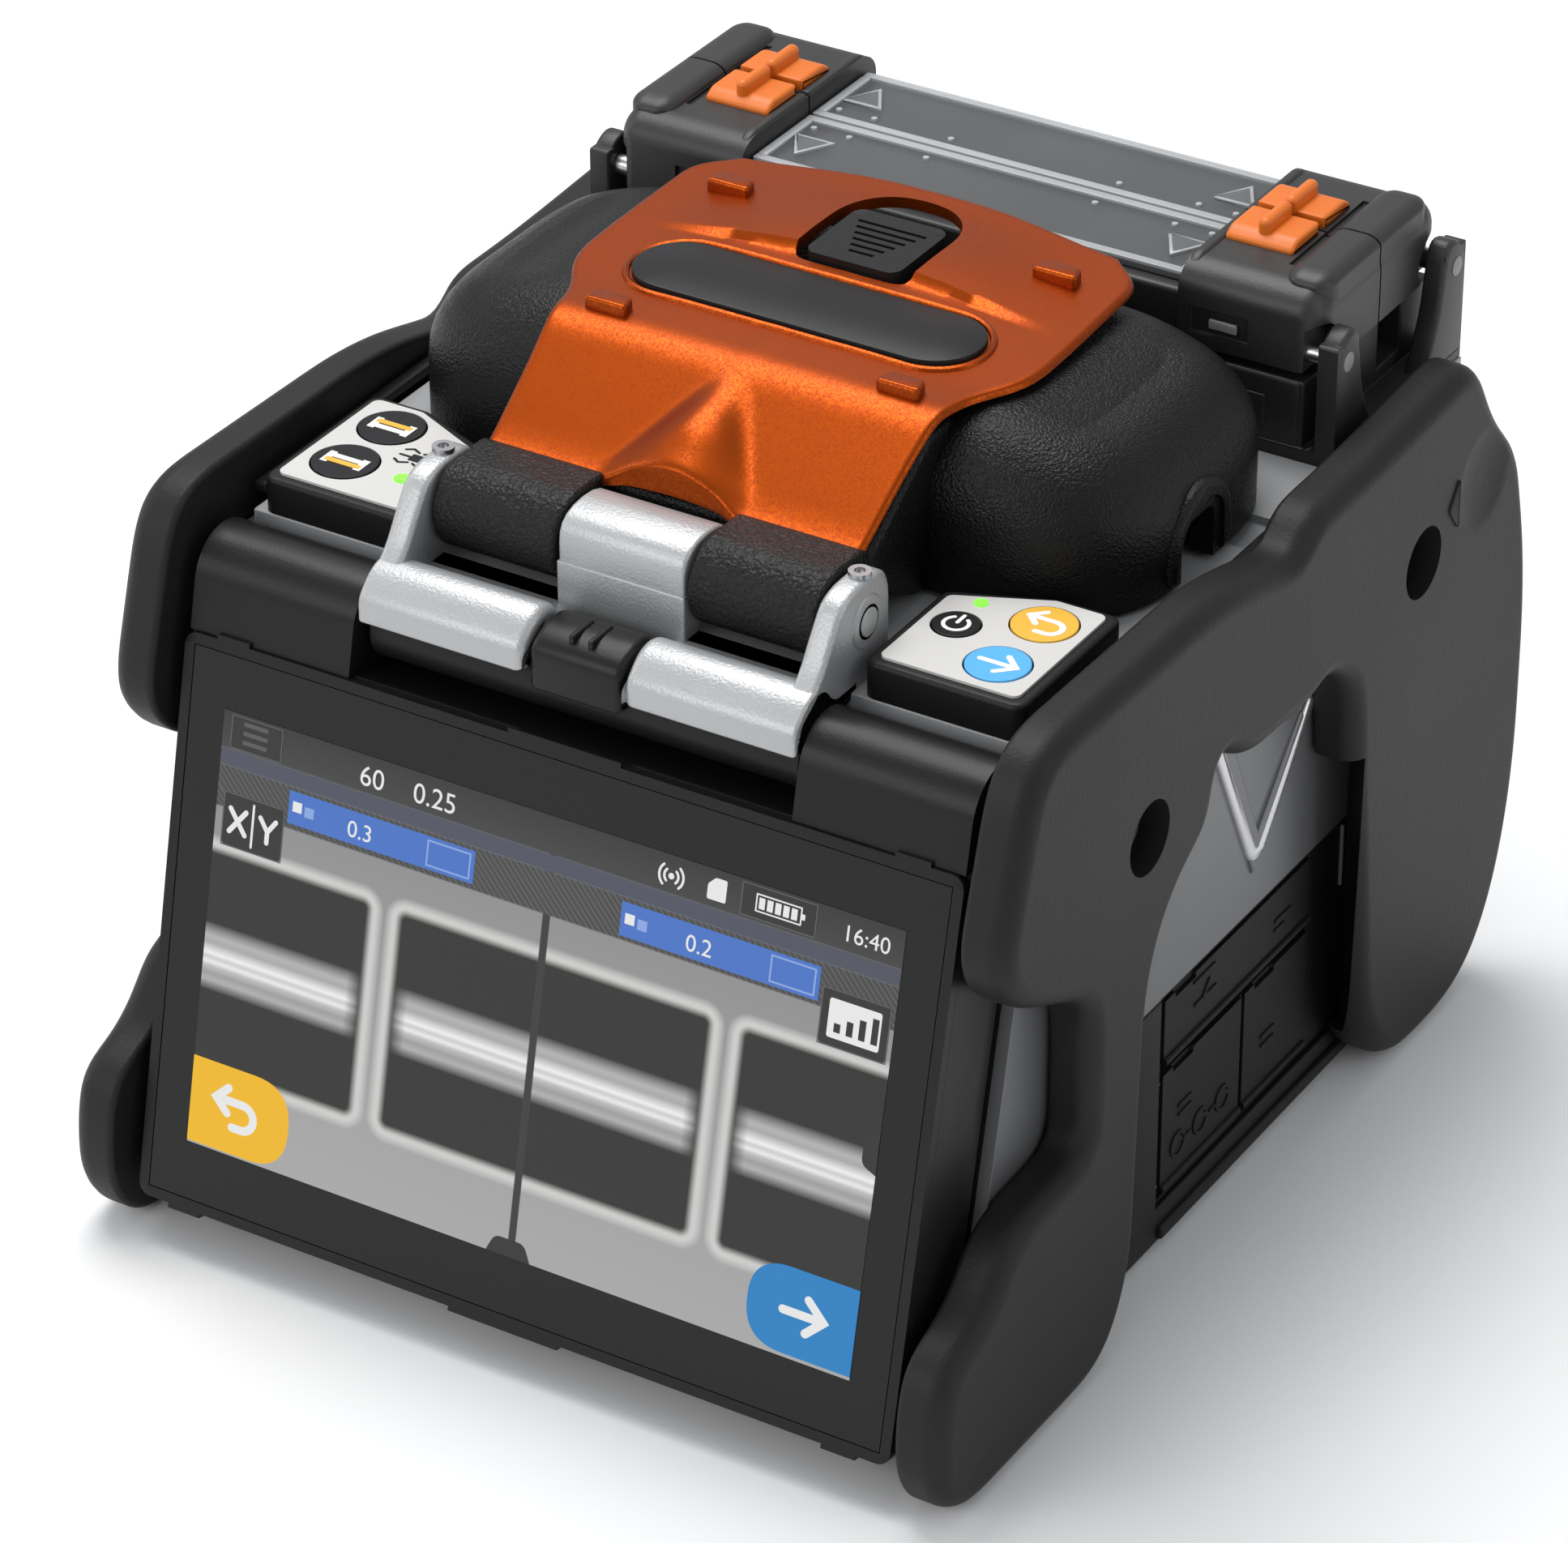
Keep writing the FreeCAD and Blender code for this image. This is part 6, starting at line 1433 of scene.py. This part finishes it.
def make_lid_window(end, turn):
    body_name = f"heater_lid_{end}"
    sheet = prism(rectangle(-WINDOW_HALF, WINDOW_HALF, WINDOW_FRONT, WINDOW_REAR, 0.5), "z",
                  WINDOW_LOW, WINDOW_HIGH - 0.2, 0, 0.2, 3)
    window = make(f"lid_window_{end}", *turn(sheet), body_name, window_smoke)
    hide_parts(f"heater_window_{end}")
    marks = ring_of((-WINDOW_HALF, WINDOW_HALF, WINDOW_FRONT, WINDOW_REAR), 1.5)
    for side in (-1, 1):
        foot = side * 31.0
        triangle = [(foot - 3.0, 51.6), (foot + 3.0, 51.6), (foot, 46.4), (foot - 3.0, 51.6)]
        marks.append(stroke(triangle, 0.55))
        marks += [circle((side * x, y), 0.5, 12) for x, y in ((27, 54.8), (14, 54.8), (33, 54.8))]
    rim = make(f"lid_window_rim_{end}", *turn(laid(marks, WINDOW_HIGH - 0.25, WINDOW_HIGH + 0.2,
                                                   straight_up, 0.12)), body_name, window_rim)
    lever = joined(side_prism(LEVER_SIDE, 37.7, 48.5, 0.6, 0.6),
                   block((42.1, 50.6, 128.0), (44.1, 58.2, 131.2), 0.95, 4))
    levers = make(f"lid_levers_{end}", *turn(joined(lever, mirrored(lever))), body_name,
                  lever_orange, sharp=60)
    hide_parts(f"heater_levers_{end}")


make_lid_window("front", lambda shape: shape)
make_lid_window("rear", behind_seam)

# %% [markdown]
# The trough carries the lids: a rounded lug with a pale pin head at every corner, and a
# stepped box under each clamp.

# %% Heater trough details
LUG_SIDE = [
    (38.6, 103.0, 0.8), (38.6, 121.0, 3.5), (44.6, 123.2, 3.5), (46.6, 112.0, 3.0),
    (51.0, 103.0, 1.5)]
lug = side_prism(LUG_SIDE, 58.5, 61.8, 0.5, 0.9)
under_box = joined(block((40.0, 38.7, 103.6), (55.8, 41.0, 114.2), 0.7, 3),
                   block((45.5, 38.5, 106.0), (50.5, 39.4, 111.0), 0.3, 2))
quarter = joined(lug, under_box)
corners = joined(quarter, mirrored(quarter), behind_seam(quarter), behind_seam(mirrored(quarter)))
trough_trim = make("trough_trim", *corners, "chassis", heater_black, sharp=50)
pin_head = prism(circle((41.5, 118.0), 1.5, 20), "x", 61.4, 61.95, 0, 0.15)
pin_heads = make("heater_pin_heads", *joined(pin_head, mirrored(pin_head), behind_seam(pin_head),
                                             behind_seam(mirrored(pin_head))), "chassis", tab_grey)
print("trough trim", len(trough_trim.data.vertices), "points")


# %% [markdown]
# Each side has a bright V ridge pressed into the grey panel.  The right side also has the
# port panel, whose rubber flaps carry plain raised marks: short bars and a row of three open
# rings.  A dark rail runs along the foot of each side, and a strip frames the panel's front.

# %% Side ridges and port marks
PANEL_OUT = 64.0


def side_marks(outlines, low, high, roll):
    return joined(*[prism(outline if outline_turn(outline) > 0 else outline[::-1], "x", low, high,
                          0, roll, 3) for outline in outlines])


ridge_path = rounded_outline([(1.0, 77.4, 0.1), (13.6, 51.6, 3.5), (29.2, 70.2, 0.1)], 0.1, 6)
ridge = side_marks([stroke([ridge_path[0]] + ridge_path[6:13] + [ridge_path[-1]], 2.6)],
                   PANEL_OUT - 0.5, PANEL_OUT + 0.75, 0.7)
for name, shape in (("right", ridge), ("left", mirrored(ridge))):
    piece = make(f"side_ridge_{name}", *shape, "chassis", bright_metal)

FLAP_OUT = 63.75
data_marks = [stroke([(-2.5, 40.2), (3.5, 40.2)], 0.5), stroke([(-2.0, 36.2), (4.0, 36.2)], 0.7),
              stroke([(0.0, 36.2), (2.0, 38.4)], 0.6), stroke([(22.0, 36.8), (26.5, 36.8)], 0.6),
              stroke([(22.0, 35.2), (24.5, 35.2)], 0.6)]
output_marks = [stroke([(-6.0, 21.4), (-2.5, 21.4)], 0.7), stroke([(-6.0, 19.9), (-2.5, 19.9)], 0.5),
                stroke([(3.4, 15.0), (5.2, 15.0)], 0.5), stroke([(-4.2, 15.0), (-2.4, 15.0)], 0.5)]
output_marks += [stroke(arc(centre, size, 20, 340, 16), 0.5)
                 for centre, size in (((-6.2, 15.0), 1.9), ((0.5, 15.0), 1.9), ((7.2, 15.0), 1.9))]
input_marks = [stroke([(19.0, 18.6), (22.6, 18.6)], 0.7), stroke([(19.0, 17.0), (22.6, 17.0)], 0.5)]
for name, outlines in (("data", data_marks), ("output", output_marks), ("input", input_marks)):
    piece = make(f"flap_marks_{name}", *side_marks(outlines, FLAP_OUT - 0.3, FLAP_OUT + 0.3, 0.15),
                 f"port_flap_{name}", flap_rubber)
edge_lines = [stroke([(45.3, 41.6), (45.3, 10.2)], 0.7), stroke([(43.0, 41.6), (43.0, 31.6)], 0.5),
              stroke([(-12.2, 28.6), (-13.2, 28.6), (-13.2, 11.0), (-12.2, 11.0)], 0.5)]
port_lines = make("port_edge_lines", *side_marks(edge_lines, 63.0, 63.9, 0.3), "chassis", port_edge)

RAIL_OUT = 64.25
rail = joined(block((63.0, -64.0, 1.8), (RAIL_OUT, 66.0, 7.6), 0.3, 2),
              block((63.0, -12.5, 2.2), (RAIL_OUT + 0.8, 47.0, 4.6), 0.6, 3))
frame_strip = block((63.2, -21.0, 7.2), (RAIL_OUT, -12.9, 43.2), 0.3, 2)
for name, shape in (("right", joined(rail, frame_strip)), ("left", mirrored(rail))):
    piece = make(f"base_rail_{name}", *shape, "chassis", port_black)
print("rails and port marks done")


# %% [markdown]
# The camera stands to the right of the screen and looks down at the machine through a long
# lens.  The light is a plain studio: a big soft source in front, a stronger one above and a
# weak strip on each side to draw the edges of the black parts.

# %% Camera, floor and light
CAMERA_PLACE = (0.41759, -0.68990, 0.55226)
CAMERA_TURN, CAMERA_TILT, CAMERA_ROLL = (math.radians(a) for a in (31.494, 31.740, -0.266))
right = Vector((math.cos(CAMERA_TURN), math.sin(CAMERA_TURN), 0))
back = Vector((math.sin(CAMERA_TURN) * math.cos(CAMERA_TILT),
               -math.cos(CAMERA_TURN) * math.cos(CAMERA_TILT), math.sin(CAMERA_TILT)))
up = back.cross(right)
cosine, sine = math.cos(CAMERA_ROLL), math.sin(CAMERA_ROLL)
across = right * cosine + up * sine
upward = up * cosine - right * sine
camera_data = bpy.data.cameras.new("camera")
camera_data.sensor_width = 36
camera_data.lens = 151.46
camera_data.clip_start, camera_data.clip_end = 0.01, 20
camera = bpy.data.objects.new("camera", camera_data)
camera.matrix_world = Matrix((
    (across.x, upward.x, back.x, CAMERA_PLACE[0]), (across.y, upward.y, back.y, CAMERA_PLACE[1]),
    (across.z, upward.z, back.z, CAMERA_PLACE[2]), (0, 0, 0, 1)))
bpy.context.collection.objects.link(camera)
bpy.context.scene.camera = camera

floor_mesh = bpy.data.meshes.new("floor")
floor_mesh.from_pydata([(-4, -4, 0), (4, -4, 0), (4, 4, 0), (-4, 4, 0)], [], [(0, 1, 2, 3)])
floor = bpy.data.objects.new("floor", floor_mesh)
floor.data.materials.append(plastic("pale floor", (0.86, 0.86, 0.86), 0.7, 300, 0.02, 0.02))
bpy.context.collection.objects.link(floor)

world = bpy.data.worlds.new("studio")
world.use_nodes = True
world.node_tree.nodes["Background"].inputs["Color"].default_value = (0.95, 0.97, 1.0, 1)
world.node_tree.nodes["Background"].inputs["Strength"].default_value = 0.55
bpy.context.scene.world = world
bpy.context.scene.view_settings.view_transform = "Standard"


def soft_light(name, place, aim, size, power):
    data = bpy.data.lights.new(name, "AREA")
    data.shape = "RECTANGLE"
    data.size, data.size_y = size
    data.energy = power
    light = bpy.data.objects.new(name, data)
    light.location = place
    light.rotation_mode = "QUATERNION"
    light.rotation_quaternion = (Vector(aim) - Vector(place)).to_track_quat("-Z", "Y")
    bpy.context.collection.objects.link(light)


soft_light("front", (-0.45, -1.3, 0.75), (0, 0, 0.07), (1.1, 0.7), 7)
soft_light("top", (-0.35, 0.25, 1.2), (0, 0, 0.1), (0.8, 0.8), 13)
soft_light("right strip", (1.1, 0.1, 0.5), (0, 0, 0.07), (0.3, 0.9), 1.6)
soft_light("left strip", (-1.1, -0.2, 0.5), (0, 0, 0.07), (0.3, 0.9), 2.2)
